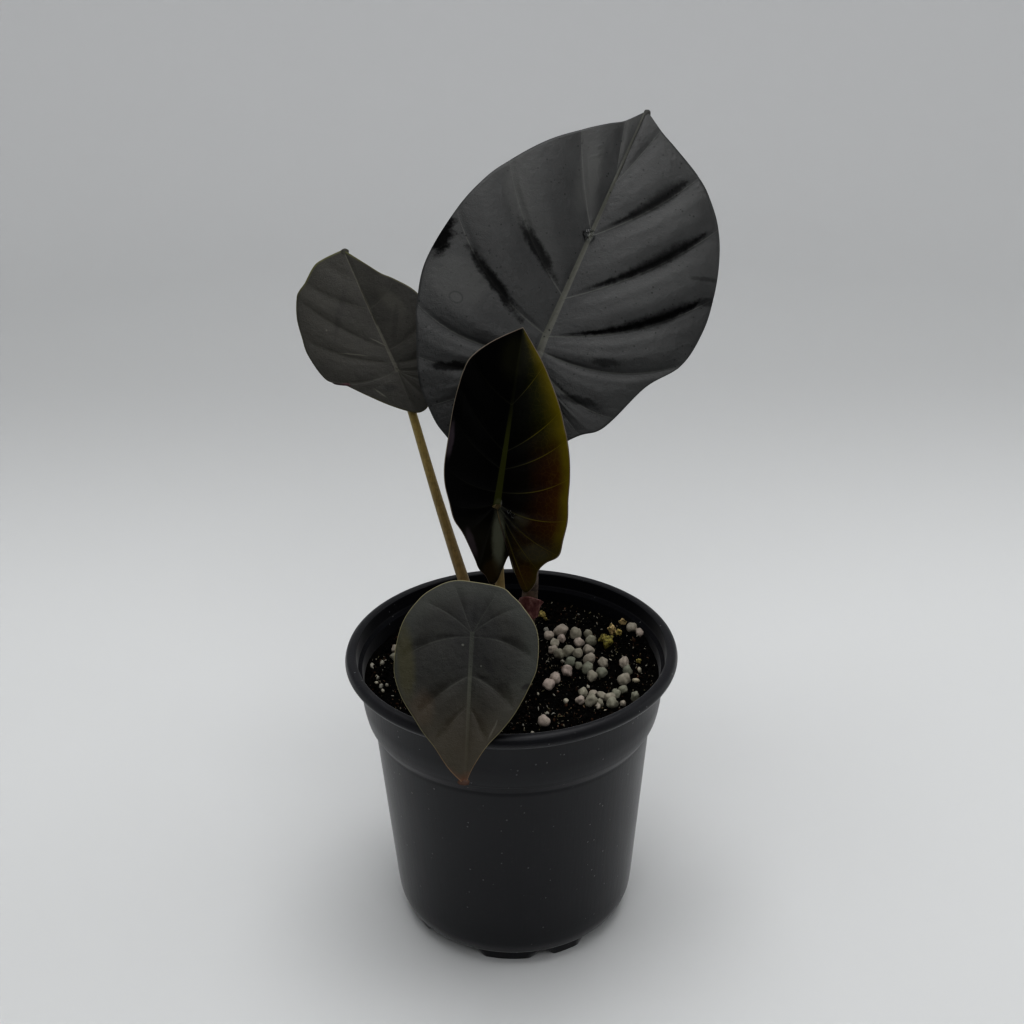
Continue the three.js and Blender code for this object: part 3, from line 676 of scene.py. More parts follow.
def foot_lift(azimuth):
    """Height of the foot ring's bottom: 0 on a foot, full in the gaps and notches."""
    gap = 1 - smoothstep(angle_from(azimuth, GAP_AZIMUTH), GAP_HALF, GAP_HALF + RAMP)
    notch = 1 - smoothstep(angle_from(azimuth, NOTCH_AZIMUTH), NOTCH_HALF, NOTCH_HALF + RAMP)
    return FOOT_HEIGHT * max(gap, notch * 0.9)


def draw_line(bm, corners):
    """Points of the XZ plane at each corner's radius and height in millimetres, joined in a row."""
    points = [bm.verts.new((corner[0] * MM, 0, corner[1] * MM)) for corner in corners]
    for first, second in zip(points, points[1:]):
        bm.edges.new((first, second))
    return points


def spin_round(bm, steps):
    """Spins a line once round the Z axis and closes it."""
    bmesh.ops.spin(bm, geom=bm.verts[:] + bm.edges[:], cent=(0, 0, 0), axis=(0, 0, 1),
                   angle=2 * math.pi, steps=steps, use_merge=True)
    bmesh.ops.remove_doubles(bm, verts=bm.verts[:], dist=0.002 * MM)
    bmesh.ops.recalc_face_normals(bm, faces=bm.faces[:])


def azimuth_of(point):
    return math.degrees(math.atan2(point.x, -point.y))


def make_pot():
    bm = bmesh.new()
    points = draw_line(bm, POT_SECTION)
    bm.edges.new((points[-1], points[0]))
    for point, (_, _, rounding) in zip(points, POT_SECTION):
        if rounding:
            bmesh.ops.bevel(bm, geom=[point], offset=rounding * MM, segments=3, profile=0.5,
                            affect="VERTICES", material=-1)
    spin_round(bm, POT_STEPS)
    for vert in bm.verts:
        radius = vert.co.xy.length / MM
        if radius > FOOT_INNER_RADIUS and vert.co.z < FOOT_HEIGHT * MM:
            vert.co.z = max(vert.co.z, foot_lift(azimuth_of(vert.co)) * MM)
    pot = add_piece("pot_shell", bm, [pot_finish()], ["pot"])
    cut_drains(pot)


def cut_drains(pot):
    """Cuts the four outer drain holes through the pot's base."""
    bm = bmesh.new()
    for quarter in range(4):
        azimuth = math.radians(GAP_AZIMUTH + 90 * quarter)
        centre = Vector((math.sin(azimuth), -math.cos(azimuth), 0)) * DRAIN_CIRCLE
        centre.z = BASE_MIDDLE
        bmesh.ops.create_cone(bm, cap_ends=True, segments=40, radius1=DRAIN_RADIUS * MM,
                              radius2=DRAIN_RADIUS * MM, depth=4 * MM,
                              matrix=Matrix.Translation(centre * MM))
    cutter = make_object("drain_cutter", bm, smooth=False)
    boolean = pot.modifiers.new("drains", "BOOLEAN")
    boolean.object = cutter
    boolean.solver = "EXACT"
    pierced = pot.evaluated_get(bpy.context.evaluated_depsgraph_get())
    mesh = bpy.data.meshes.new_from_object(pierced)
    pot.modifiers.clear()
    pot.data = mesh
    bpy.data.objects.remove(cutter)


# Soil and what lies on it, in millimetres
SOIL_SECTION = [(0, 5.8), (33.6, 5.8), (36.3, 6.9), (38.3, 9.3), (39, 12.7), (44.1, 74.8), (46.3, 78.6),
                (47.6, 84.6), (48.1, SOIL_LEVEL)]
SOIL_RING = 0.6
SOIL_STEPS = 300
STEM_CENTRE = Vector((-2, 0.3))
STEM_RADIUS = 8.8
BANK_CENTRE = (43, 19)
BANK_SPREAD = 9
BANK_HEIGHT = 2.8
CRUMB_BATCHES = 15
CRUMBS_PER_BATCH = 200
BARK_SHARE = 0.065
PALE_GRAINS_AND_GLINTS = 1250


def soil_wave(x, y):
    """The soil's broad unevenness and its bank at the back right, as in its solid."""
    away = math.hypot(x - BANK_CENTRE[0], y - BANK_CENTRE[1])
    bank = BANK_HEIGHT * math.exp(-(away / BANK_SPREAD) ** 2)
    wave = 0.55 * math.sin(0.13 * x + 1) * math.cos(0.11 * y + 0.5)
    return SOIL_LEVEL + bank + wave + 0.25 * math.sin(0.27 * x + 0.21 * y)


def soil_height(x, y):
    lumps = noise.fractal(Vector((x, y, 0)) * 0.35, 0.9, 2.1, 4)
    return soil_wave(x, y) + 0.7 * lumps


def make_soil():
    bm = bmesh.new()
    rings = [(SOIL_RING * step, SOIL_LEVEL) for step in range(79, -1, -1)]
    draw_line(bm, SOIL_SECTION + rings)
    spin_round(bm, SOIL_STEPS)
    for vert in bm.verts:
        if vert.co.z > (SOIL_LEVEL - 0.1) * MM:
            vert.co.z = soil_height(vert.co.x / MM, vert.co.y / MM) * MM
    add_piece("soil_bed", bm, [soil_finish()], ["soil"])


def lump(bm, centre, size, rng, tone_layer, tone, detail, rough):
    """One irregular grain: a small icosphere, squeezed, turned and dented."""
    made = bmesh.ops.create_icosphere(bm, subdivisions=detail, radius=0.5 * MM)
    turn = Euler([rng.uniform(0, 2 * math.pi) for _ in range(3)]).to_matrix()
    offset = Vector([rng.uniform(0, 50) for _ in range(3)])
    for vert in made["verts"]:
        way = vert.co.normalized()
        dent = 1 + rough * noise.noise(way * 1.3 + offset)
        reach = Vector([a * b for a, b in zip(vert.co, size)]) * dent
        vert.co = turn @ reach + Vector(centre) * MM
        vert[tone_layer] = tone


def scatter_spot(rng, limit=47):
    """A random place on the soil, clear of the stem base."""
    while True:
        radius = limit * math.sqrt(rng.random())
        angle = rng.uniform(0, 2 * math.pi)
        spot = Vector((radius * math.cos(angle), radius * math.sin(angle)))
        if (spot - STEM_CENTRE).length > STEM_RADIUS + 0.4:
            return spot


def crumb(rng):
    """Place, size and tone of one crumb of peat, or now and then of one strip of bark."""
    bark = rng.random() < BARK_SHARE
    spot = scatter_spot(rng, 46.3)
    if bark:
        stretch = (rng.uniform(2.2, 4.6), rng.uniform(0.5, 1.1), rng.uniform(0.3, 0.5))
        return (*spot, soil_height(*spot) + 0.4), stretch, rng.uniform(0.5, 0.97)
    size = rng.choice((0.5, 0.7, 0.8, 1.0, 1.2, 1.6))
    height = soil_height(*spot) + size * rng.uniform(0.05, 0.3)
    stretch = (size * rng.uniform(0.8, 1.6), size, size * rng.uniform(0.5, 0.9))
    return (*spot, height), stretch, rng.random() ** 1.3


def make_crumbs():
    """Loose crumbs all over the soil, made in batches, which keeps each mesh quick to work on."""
    rng = random.Random(11)
    finish = crumb_finish()
    for batch in range(CRUMB_BATCHES):
        bm = bmesh.new()
        tone = bm.verts.layers.float.new("tone")
        for _ in range(CRUMBS_PER_BATCH):
            centre, stretch, shade = crumb(rng)
            lump(bm, centre, stretch, rng, tone, shade, 1, 0.6)
        add_piece(f"soil_crumbs_{batch}", bm, [finish])


def make_pale_grains():
    rng = random.Random(23)
    bm = bmesh.new()
    tone = bm.verts.layers.float.new("tone")
    # Pale grains: partly real, and partly painted highlights that stand in for the wet peat's glints.
    for _ in range(PALE_GRAINS_AND_GLINTS):
        spot = scatter_spot(rng)
        size = rng.choice((0.3, 0.35, 0.4, 0.5, 0.6, 0.8))
        height = soil_height(*spot) + 0.45 * size + 0.3
        stretch = (size * rng.uniform(0.9, 2), size * rng.uniform(0.5, 0.9), size * 0.6)
        lump(bm, (*spot, height), stretch, rng, tone, rng.random() ** 1.3, 1, 0.6)
    for x, y, size, shade in PERLITE:
        lump(bm, (x, y, soil_height(x, y) + 0.5), (size * 1.15, size, size * 0.8), rng, tone, shade, 2, 0.6)
    add_piece("pale_grains", bm, [grain_and_glint_finish()])


# Bigger pale bits as (x, y, size, tone)
PERLITE = [
    (17.1, -19.8, 1.9, 0.9), (24.7, -9.8, 1.7, 0.85), (41.9, -1.3, 1.9, 0.95), (12.8, -25.8, 1.3, 0.8),
    (10.9, -25.8, 1.3, 0.7), (40.3, -7.2, 2.5, 1.0), (-42.3, -8.7, 1.7, 0.8), (12.1, 26.4, 1.8, 0.8),
    (26.8, -21.9, 1.3, 0.8), (16.9, 4.8, 1.5, 0.85), (8.4, -15.6, 0.9, 0.9),
    (3.3, -32.1, 1, 0.8), (6.1, -35.9, 1.1, 0.85), (-43.9, -7.3, 1.3, 0.9), (-40.4, -8.6, 1.2, 0.7),
    (-41.6, -11.7, 1.3, 0.85), (-46, 3.4, 1.8, 0.75), (-42.7, 5, 1.6, 0.7), (-43.6, -4.6, 1.4, 0.75)]

# Prills as (x, y, diameter, tone), from greenish grey at 0 to pinkish white at 1
PRILLS = {
    "prills_middle": [
        (12.7, 19.3, 3.5, 0.75), (16.8, 21.7, 4.3, 0.7), (17, 17.1, 3.1, 0.95), (21.8, 19.7, 3.8, 0.45),
        (26, 19.7, 3.3, 0.4), (26.7, 14.8, 4, 0.3), (22.7, 13.5, 3.8, 0.8), (14.6, 14.7, 3.1, 0.5),
        (13.8, 10.4, 3.3, 0.7), (15.8, 7.8, 3.4, 0.4), (19, 8.8, 3.7, 0.4), (22.1, 7.4, 3.3, 0.45),
        (25.7, 9.4, 3.5, 0.6), (25.7, 3.9, 3.9, 0.6), (19.3, 2.3, 3.7, 0), (22, 0.8, 2.8, 0.2),
        (18.1, -3.1, 3.9, 1), (24.9, -1.6, 3.7, 0.1), (26, -6, 3.6, 0.45), (30.1, 1.6, 3.7, 0.55),
        (29.4, -4.4, 3.9, 0.1)],
    "prills_pair": [(14, -8.7, 3.8, 0.9), (11.9, -12.3, 3.8, 0.95)],
    "prills_right": [(37.1, 1.2, 3.7, 0.7), (37.8, -3, 3.3, 0.1), (36.3, -9.7, 4.2, 0.5),
                     (35.6, -14.8, 3.1, 0.2)],
    "prills_front": [
        (22.6, -16.4, 3.3, 0.4), (25.8, -17.2, 3.1, 0.6), (21.5, -21.3, 3.1, 0.8),
        (24.9, -21.9, 3.9, 0.4), (28.6, -18.2, 3.2, 0.5), (31.1, -19.7, 3.5, 0.5),
        (33.2, -16.9, 3.3, 0.2), (31.6, -23.4, 3.7, 0.3), (27.8, -22.3, 2.4, 0.4),
        (27.1, -24.3, 1.9, 0.6), (35, -22.1, 2.2, 0.6)],
    "prills_back": [(40.9, 19.2, 3.6, 0.5), (43.3, 16.8, 2.6, 0.8)],
    "prills_left": [(-38.6, 12.8, 3.4, 0.6), (-38.2, 7.6, 3.3, 0.3)],
    "prill_rim": [(39.1, -19.3, 3.3, 0.2)],
    "prill_single": [(9.8, -32.2, 3.5, 0.85)],
}

# Yellow-green bits in the same way: the solid's, and those that lie alone
YELLOW = [(32.5, 14, 3.7, 0.2), (31, 16.8, 2.6, 0.35), (34.2, 20.2, 2.9, 1), (36.3, 17.9, 2.5, 0.55)]
YELLOW_LOOSE = [(10.7, 35.2, 2.6, 0.6), (38.3, 27.2, 2.3, 1), (12, 33, 1.3, 0.5), (42, 3.4, 1.9, 0.5)]
SEAT = 0.175


def make_balls(name, nodes, balls, finish, rng, rough):
    bm = bmesh.new()
    layer = bm.verts.layers.float.new("tone")
    for x, y, size, tone in balls:
        height = soil_wave(x, y) + size / 2 + SEAT
        stretch = (size * rng.uniform(0.96, 1.26), size * 0.96, size * rng.uniform(0.82, 0.96))
        lump(bm, (x, y, height), stretch, rng, layer, tone, 3, rough)
    add_piece(name, bm, [finish], nodes)


def make_prills():
    rng = random.Random(5)
    finish = prill_finish()
    for node, balls in PRILLS.items():
        make_balls(f"{node}_balls", [node], balls, finish, rng, 0.34)
    yellow = yellow_finish()
    make_balls("yellow_lumps", ["yellow_bits"], YELLOW, yellow, rng, 0.7)
    make_balls("yellow_loose", [], YELLOW_LOOSE, yellow, rng, 0.6)


# Leaves, in millimetres, with the directions of their solids and the same rows or nearly so.
# A row starts on the midrib at "starts" and ends on the margin at "right" or "left" as (along, across).
LEAVES = {
    "big": {
        "junction": (9.3, 13, 193.9), "lean": 29, "turn": 6, "spin": 27.8,
        "tip_bend": 450, "lobe_bend": 150, "fold": 0.12, "sag": 0.0022, "relief": 2, "reach": 44,
        "starts": [0, 0, 0, 0, 0, 0, 1.5, 3, 5, 8, 14, 21, 32, 43, 52, 62, 89],
        "right": [
            (-21, 1.5), (-27, 8.5), (-22.5, 15.5), (-16, 21.5), (-12.5, 26), (-7, 29), (6, 34),
            (17, 41.5), (29.5, 43.5), (40.5, 42.5), (52.5, 39.5), (62, 35.5), (69.5, 29.5),
            (75, 23.5), (81, 13), (84.5, 6.5), (89, 0)],
        "left": [
            (-21, 1.5), (-35, -6), (-32, -17.5), (-27, -24.5), (-21.5, -30), (-14.5, -34),
            (-7, -37.5), (0, -40.5), (13.5, -43.5), (32, -41.5), (45, -37.5), (53.5, -33),
            (64.5, -25), (73, -16.5), (79, -9.5), (82.5, -5), (89, 0)],
        "petiole": [
            (2.6, 1.8, 92.4), (2.8, 1.9, 95.5), (4.9, 3.4, 105), (6.4, 5, 116.5), (6.9, 6.5, 127),
            (8.3, 11, 153.6), (8.7, 15, 179)],
        "bottom_radius": 3.1, "top_radius": 1.6, "rib_width": (1.3, 0.25), "rib_shift": 0.5,
        "steps": 9, "columns": 44, "slot": "blade_dark", "detail": 1,
    },
    "left": {
        "junction": (-34.6, 24, 187), "lean": 30, "turn": -12, "spin": -30.2,
        "tip_bend": 450, "lobe_bend": 150, "fold": 0.12, "sag": 0.003, "relief": 0.9,
        "relief_skew": 0.4, "reach": 24,
        "starts": [0, 0, 0, 0, 0, 0, 1, 2.5, 4.5, 7, 14.5, 22, 28, 32, 44],
        "right": [
            (-15.5, 2.5), (-14, 5.5), (-12, 8), (-9.5, 10.5), (-7, 12.5), (-3.5, 15), (-1, 16.3),
            (2, 17.3), (7.5, 18.2), (13, 18), (20.5, 15.7), (27, 11.3), (30.5, 8.3), (35.5, 5.2),
            (44, 0)],
        "left": [
            (-15.5, 2.5), (-14.5, -1), (-9, -7), (-2, -13), (3.5, -17.5), (7.5, -22), (17, -24),
            (23.5, -23.5), (30, -22.5), (36, -20), (38, -18), (39.5, -15.5), (43, -11),
            (44, -7.5), (44, 0)],
        "petiole": [
            (-6.2, 2.6, 92.4), (-6.6, 2.7, 95.5), (-10.3, 4.8, 105), (-15.1, 8, 120),
            (-23, 14, 147.2), (-30.4, 21, 174.3)],
        "bottom_radius": 2.3, "top_radius": 1.3, "rib_width": (0.65, 0.2), "rib_shift": 0,
        "steps": 8, "columns": 30, "slot": "blade_brown", "detail": 0.7,
    },
    "front": {
        "junction": (-3.6, -8, 155.4), "lean": 12, "turn": 4, "spin": 10.4,
        "tip_bend": 450, "lobe_bend": 150, "fold": 0.18, "sag": -0.0083, "relief": 0.5, "reach": 22,
        "starts": [0, 0, 0, 0, 0, 0, 0, 0, 0, 0, 1.5, 3.5, 7, 10.5, 13, 16, 23, 30.5, 41, 54],
        "right": [
            (-16, 6.3), (-22, 9.2), (-26.5, 12), (-26.5, 13.7), (-23, 15.3), (-18.8, 15.5),
            (-15.6, 17.3), (-12.5, 20.5), (-7, 21), (-1, 21.3), (5.5, 20.5), (12, 20),
            (18, 19), (23.5, 17.5), (27.5, 16), (31.5, 14.5), (37, 11.8), (44, 7.7), (49, 4),
            (54, 0)],
        "left": [
            (-16, 6.3), (-20.5, 4.9), (-25.3, 3.8), (-26.5, 2), (-24, 0), (-21.9, -2.3),
            (-18.2, -4.4), (-10.8, -8.9), (-6.3, -12.5), (-1, -14.7), (5, -17), (11, -18),
            (18.5, -18), (26.5, -17.9), (32, -17.5), (35.5, -17), (39.5, -16.3), (43.8, -14.5),
            (48.8, -9), (54, 0)],
        "petiole": [
            (-1.6, -3.2, 92.4), (-1.7, -3.2, 95.5), (-2.6, -3.8, 108), (-3.3, -4.2, 126.9),
            (-3.6, -4, 142)],
        "bottom_radius": 2.2, "top_radius": 1.3, "rib_width": (1.25, 0.2), "rib_shift": 0,
        "steps": 7, "columns": 30, "slot": "blade_young", "detail": 0.35,
    },
    "low": {
        "junction": (-11.5, -37, 126.2), "lean": 38, "turn": -6, "spin": 180,
        "tip_bend": 300, "lobe_bend": 100, "fold": 0.08, "sag": 0.003, "relief": 0.85, "reach": 23,
        "starts": [0, 0, 0, 0, 0, 1, 7, 12.5, 16.5, 21.5, 31, 44.5],
        "right": [
            (-16, 1), (-16, 7), (-13.5, 12.5), (-9.5, 17), (-1.5, 21.5), (10.5, 23), (19, 20.5),
            (26.5, 15.5), (30, 13), (34, 9.5), (40, 5), (44.5, 0)],
        "left": [
            (-16, 1), (-14.5, -8), (-12, -11.5), (-8.5, -15), (-1.5, -19.5), (8.5, -20),
            (15, -18), (23, -14), (28.5, -10), (33, -6), (39.5, -2), (44.5, 0)],
        "petiole": [
            (-6.6, -3.2, 92.4), (-6.7, -3.5, 95.5), (-7.2, -7, 104), (-8.5, -17, 116),
            (-10.4, -28.5, 122.5)],
        "bottom_radius": 2.1, "top_radius": 1.2, "rib_width": (0.72, 0.45), "rib_shift": 0,
        "steps": 10, "columns": 32, "slot": "blade_brown", "detail": 0.35,
    },
}
VEIN_BOW = 0.12
LOBE_ROWS = 4
PANEL_SKEW = 0.7
LEAF_THICKNESS = 0.45
VEIN_THICKNESS = 0.85
RIB_THICKNESS = 2.4


def blade_axes(leaf):
    """The blade's own directions: along to the tip, across to the right, out of its upper face."""
    lean = math.radians(leaf["lean"])
    turn = math.radians(leaf["turn"])
    spin = math.radians(leaf["spin"])
    out = Vector((math.sin(turn) * math.cos(lean), -math.cos(turn) * math.cos(lean), math.sin(lean)))
    up = (Vector((0, 0, 1)) - out * out.z).normalized()
    right = up.cross(out)
    along = up * math.cos(spin) + right * math.sin(spin)
    return along, along.cross(out), out


def catmull_rom(a, b, c, d, t):
    """The smooth curve between b and c, t of the way, with a before and d after them."""
    square = t * t
    return 0.5 * (2 * b + (c - a) * t + (2 * a - 5 * b + 4 * c - d) * square
                  + (3 * b - a - 3 * c + d) * square * t)


def row_at(leaf, side, place):
    """Start on the midrib and end on the margin of the row at a place between the given rows."""
    ends, others = leaf["right"], leaf["left"]
    if side < 0:
        ends, others = others, ends
    last = len(ends) - 1
    i = min(int(place), last - 1)
    t = place - i
    before = others[1] if i == 0 else ends[i - 1]
    after = ends[min(i + 2, last)]
    along = catmull_rom(before[0], ends[i][0], ends[i + 1][0], after[0], t)
    across = catmull_rom(before[1], ends[i][1], ends[i + 1][1], after[1], t)
    start = leaf["starts"][i] * (1 - t) + leaf["starts"][i + 1] * t
    return start, along, across


def flat_point(leaf, side, place, w):
    """A point in the blade's plane, w of the way from the midrib to the margin, and its row's length."""
    start, end_along, end_across = row_at(leaf, side, place)
    run = end_along - start
    length = math.hypot(run, end_across)
    rise = run / length if length > 0 else 1
    bow = VEIN_BOW * (1 - rise ** 2) * length * 4 * w * (1 - w) * min(1, place / LOBE_ROWS)
    along = start + run * w - math.sqrt(max(0, 1 - rise ** 2)) * bow
    return along, end_across * w + side * rise * bow, length


def leaf_spot(leaf, along, across, height):
    """The place at a height out of a blade's plane."""
    along_axis, across_axis, out = blade_axes(leaf)
    return Vector(leaf["junction"]) + along_axis * along + across_axis * across + out * height


def blade_form(leaf, along, across):
    """Height of a blade's plain form: bent back at both ends, folded along its midrib, arched across."""
    bend = leaf["tip_bend"] if along > 0 else leaf["lobe_bend"]
    return -along ** 2 / (2 * bend) + leaf["fold"] * abs(across) - leaf["sag"] * across ** 2


def nearest_vein(leaf, side, place, w):
    """Distance in the blade's plane to the nearest main vein, at the same share of the way out."""
    last = len(leaf["starts"]) - 1
    top = last if last % 2 else last - 1
    vein = min(top, max(1, 1 + 2 * round((place - 1) / 2)))
    here = flat_point(leaf, side, place, w)
    there = flat_point(leaf, side, vein, w)
    return math.hypot(here[0] - there[0], here[1] - there[1])


def blade_height(leaf, place, w, along, across, length, vein, rib):
    """Height out of the blade's plane: form, quilted panels, creases at the veins, sunk midrib."""
    share = ((place - 1) / 2) % 1
    spread = min(1, 1.5 * w + max(0, place - LOBE_ROWS) / 3)
    puff = math.sin(math.pi * share ** PANEL_SKEW) * (3 * w * (1 - w) + 0.25 * w) * spread
    puff *= 0.5 + 0.5 * smoothstep(place, 3, 8)
    size = leaf["relief"] * min(1, length / leaf["reach"])
    size *= 1 + leaf.get("relief_skew", 0) * (1 if across > 0 else -1)
    ripple = 0.04 * math.sin(6 * math.pi * share + 1) * 4 * w * (1 - w) * spread
    crease = -0.08 * math.exp(-(vein / 0.5) ** 2) * min(1, 4 * w) * (1 - w ** 3) * spread
    channel = -0.2 * (1 - smoothstep(rib, 0.9, 1.5)) + 0.12 * (1 - min(1, rib) ** 2)
    flutter = 0.14 * math.sin(2.1 * place + 0.6) * w ** 5
    detail = leaf["detail"] * (size * (ripple + crease) + channel * min(1, size)) + size * flutter
    return blade_form(leaf, along, across) + size * puff + detail


def half_grid(bm, leaf, side, layers):
    """One half of a blade: a grid whose points are moved to their places among the rows."""
    count = len(leaf["starts"]) - 1
    made = bmesh.ops.create_grid(bm, x_segments=leaf["columns"], y_segments=count * leaf["steps"], size=0.5)
    base_width, tip_width = leaf["rib_width"]
    for vert in made["verts"]:
        w = vert.co.x + 0.5
        place = (vert.co.y + 0.5) * count
        along, across, length = flat_point(leaf, side, place, w)
        vein = nearest_vein(leaf, side, place, w)
        tip_share = max(0, along) / leaf["starts"][-1]
        width = base_width + (tip_width - base_width) * tip_share ** 0.8
        rib = abs(across + leaf["rib_shift"] * smoothstep(along, 0, 8)) / width if along > -1.5 * width else 9
        rib = max(rib, -along / width)
        height = blade_height(leaf, place, w, along, across, length, vein, rib)
        vert.co = leaf_spot(leaf, along, across, height) * MM
        edge = (1 - w) * length
        vein_bulge = max(0, 1 - vein / 0.7) * min(1, edge / 10) * min(1, length / 20)
        rib_bulge = math.sqrt(max(0, 1 - (rib / 1.2) ** 2)) * width / base_width
        thick = LEAF_THICKNESS + (VEIN_THICKNESS - LEAF_THICKNESS) * vein_bulge
        thick = max(thick, RIB_THICKNESS * base_width / 1.3 * rib_bulge)
        thick *= 0.55 + 0.45 * min(1, edge / 1.2)
        vert[layers["vein_mm"]] = vein
        vert[layers["edge_mm"]] = edge
        vert[layers["rib"]] = rib
        vert[layers["across"]] = side * w
        vert[layers["thick"]] = thick / RIB_THICKNESS
        vert[layers["flat"]] = Vector((along, across, place))
    return made["verts"]


def make_blade(name, leaf, materials):
    bm = bmesh.new()
    layers = {key: bm.verts.layers.float.new(key) for key in ("vein_mm", "edge_mm", "rib", "across", "thick")}
    layers["flat"] = bm.verts.layers.float_vector.new("flat")
    for side in (1, -1):
        half_grid(bm, leaf, side, layers)
    bmesh.ops.remove_doubles(bm, verts=bm.verts[:], dist=0.01 * MM)
    bmesh.ops.recalc_face_normals(bm, faces=bm.faces[:])
    out = blade_axes(leaf)[2]
    facing = sum(face.normal.dot(out) * face.calc_area() for face in bm.faces)
    if facing < 0:
        bmesh.ops.reverse_faces(bm, faces=bm.faces[:])
    bm.verts.ensure_lookup_table()
    thick = [vert[layers["thick"]] for vert in bm.verts]
    piece = add_piece(f"leaf_{name}", bm, materials, [f"blade_{name}"])
    group = piece.vertex_groups.new(name="thick")
    for index, weight in enumerate(thick):
        group.add([index], weight, "REPLACE")
    shell = piece.modifiers.new("shell", "SOLIDIFY")
    shell.thickness = RIB_THICKNESS * MM
    shell.offset = -1
    shell.vertex_group = "thick"
    shell.material_offset = 1
    shell.material_offset_rim = 2


def make_leaves():
    under = leaf_under("leaf_underside", (0.075, 0.022, 0.03), (0.16, 0.075, 0.055))
    young_under = leaf_under("young_leaf_underside", (0.06, 0.03, 0.03), (0.14, 0.11, 0.05))
    skins = {
        "big": [big_upper(), under, leaf_rim("big_leaf_rim", (0.09, 0.07, 0.06))],
        "left": [left_upper(), under, leaf_rim("left_leaf_rim", (0.1, 0.095, 0.05))],
        "front": [front_upper(), young_under, leaf_rim("front_leaf_rim", (0.2, 0.19, 0.13))],
        "low": [low_upper(), under, leaf_rim("low_leaf_rim", (0.17, 0.17, 0.11))],
    }
    for name, leaf in LEAVES.items():
        make_blade(name, leaf, skins[name])


# The thickened leaf tips as (place along, place across), (radii along, across, out) and colour
TIP_DEPTH = 0.3
TIPS = {
    "big": ((87.8, 0.3), (1.9, 1.15, 0.5), (0.062, 0.062, 0.057)),
    "left": ((42.9, -0.2), (1.5, 1.5, 0.45), (0.055, 0.053, 0.04)),
    "low": ((43.5, 0.5), (1.1, 1.7, 0.45), (0.11, 0.058, 0.038)),
}


def make_tips():
    for name, ((along, across), radii, colour) in TIPS.items():
        leaf = LEAVES[name]
        along_axis, across_axis, out = blade_axes(leaf)
        centre = leaf_spot(leaf, along, across, blade_form(leaf, along, across) - TIP_DEPTH)
        bm = bmesh.new()
        bmesh.ops.create_icosphere(bm, subdivisions=4, radius=1)
        for vert in bm.verts:
            swell = 1 + 0.2 * noise.noise(vert.co * 1.6)
            reach = [radius * part * swell for radius, part in zip(radii, vert.co)]
            vert.co = (centre + along_axis * reach[0] + across_axis * reach[1] + out * reach[2]) * MM
        add_piece(f"leaf_tip_{name}", bm, [leaf_rim(f"{name}_leaf_tip", colour)])


# Stalks

def smooth_path(points, steps):
    """Points along a smooth curve through the given points, evenly numbered between each pair."""
    spots = [Vector(point) for point in points]
    path = []
    for i in range(len(spots) - 1):
        before = spots[max(0, i - 1)]
        after = spots[min(len(spots) - 1, i + 2)]
        for step in range(steps):
            t = step / steps
            path.append(Vector([catmull_rom(before[k], spots[i][k], spots[i + 1][k], after[k], t)
                                for k in range(3)]))
    path.append(spots[-1])
    return path


def tube(bm, path, radius_at, sides, layer):
    """A closed round tube along a path: a circle, extruded from point to point."""
    share_of = []
    travelled = 0
    for first, second in zip(path, path[1:]):
        share_of.append(travelled)
        travelled += (second - first).length
    share_of.append(travelled)
    previous = (path[1] - path[0]).normalized()
    turn = Vector((0, 0, 1)).rotation_difference(previous).to_matrix()
    ring = bmesh.ops.create_circle(bm, cap_ends=True, segments=sides, radius=1)["verts"]
    shape = [vert.co.copy() for vert in ring]
    edges = [edge for edge in bm.edges if edge.verts[0] in ring and edge.verts[1] in ring]
    for i, spot in enumerate(path):
        ahead = path[min(i + 1, len(path) - 1)] - path[max(i - 1, 0)]
        way = ahead.normalized()
        turn = previous.rotation_difference(way).to_matrix() @ turn
        previous = way
        share = share_of[i] / travelled
        if i > 0:
            made = bmesh.ops.extrude_edge_only(bm, edges=edges)["geom"]
            ring = [item for item in made if isinstance(item, bmesh.types.BMVert)]
            edges = [item for item in made if isinstance(item, bmesh.types.BMEdge)]
            ring.sort(key=lambda vert: min(range(sides), key=lambda k: (vert.co - last_ring[k]).length))
        for k, vert in enumerate(ring):
            angle = 2 * math.pi * k / sides
            vert.co = (spot + turn @ shape[k] * radius_at(share, angle)) * MM
            vert[layer] = share
        last_ring = [vert.co.copy() for vert in ring]
    bmesh.ops.contextual_create(bm, geom=edges)
    bmesh.ops.recalc_face_normals(bm, faces=bm.faces[:])


def make_stalks():
    olive = stalk_finish("stalk_olive", (0.34, 0.27, 0.095), (0.24, 0.16, 0.085), 0.14)
    banded = stalk_finish("stalk_banded", (0.13, 0.1, 0.07), (0.13, 0.09, 0.065), 0.8)
    skins = {"big": banded, "left": olive, "front": olive, "low": olive}
    for name, leaf in LEAVES.items():
        junction = Vector(leaf["junction"])
        out = blade_axes(leaf)[2]
        way = (junction - Vector(leaf["petiole"][-1])).normalized()
        tilt = math.sqrt(1 - way.dot(out) ** 2)
        end = junction - out * (LEAF_THICKNESS + leaf["top_radius"] * tilt)
        path = smooth_path([*leaf["petiole"], end], 12)
        bottom, top = leaf["bottom_radius"], leaf["top_radius"]

        def radius_at(share, angle, bottom=bottom, top=top):
            plain = top + (bottom - top) * (1 - share) ** 1.5
            flare = 0.25 * bottom * (1 - smoothstep(share, 0, 0.06))
            ridge = 1 + 0.02 * math.sin(5 * angle) + 0.012 * math.sin(11 * angle + 2)
            knob = 1 + 0.12 * smoothstep(share, 0.97, 1)
            return (plain + flare) * ridge * knob

        bm = bmesh.new()
        rise = bm.verts.layers.float.new("rise")
        tube(bm, path, radius_at, 28, rise)
        add_piece(f"stalk_{name}", bm, [skins[name]], [f"petiole_{name}"])


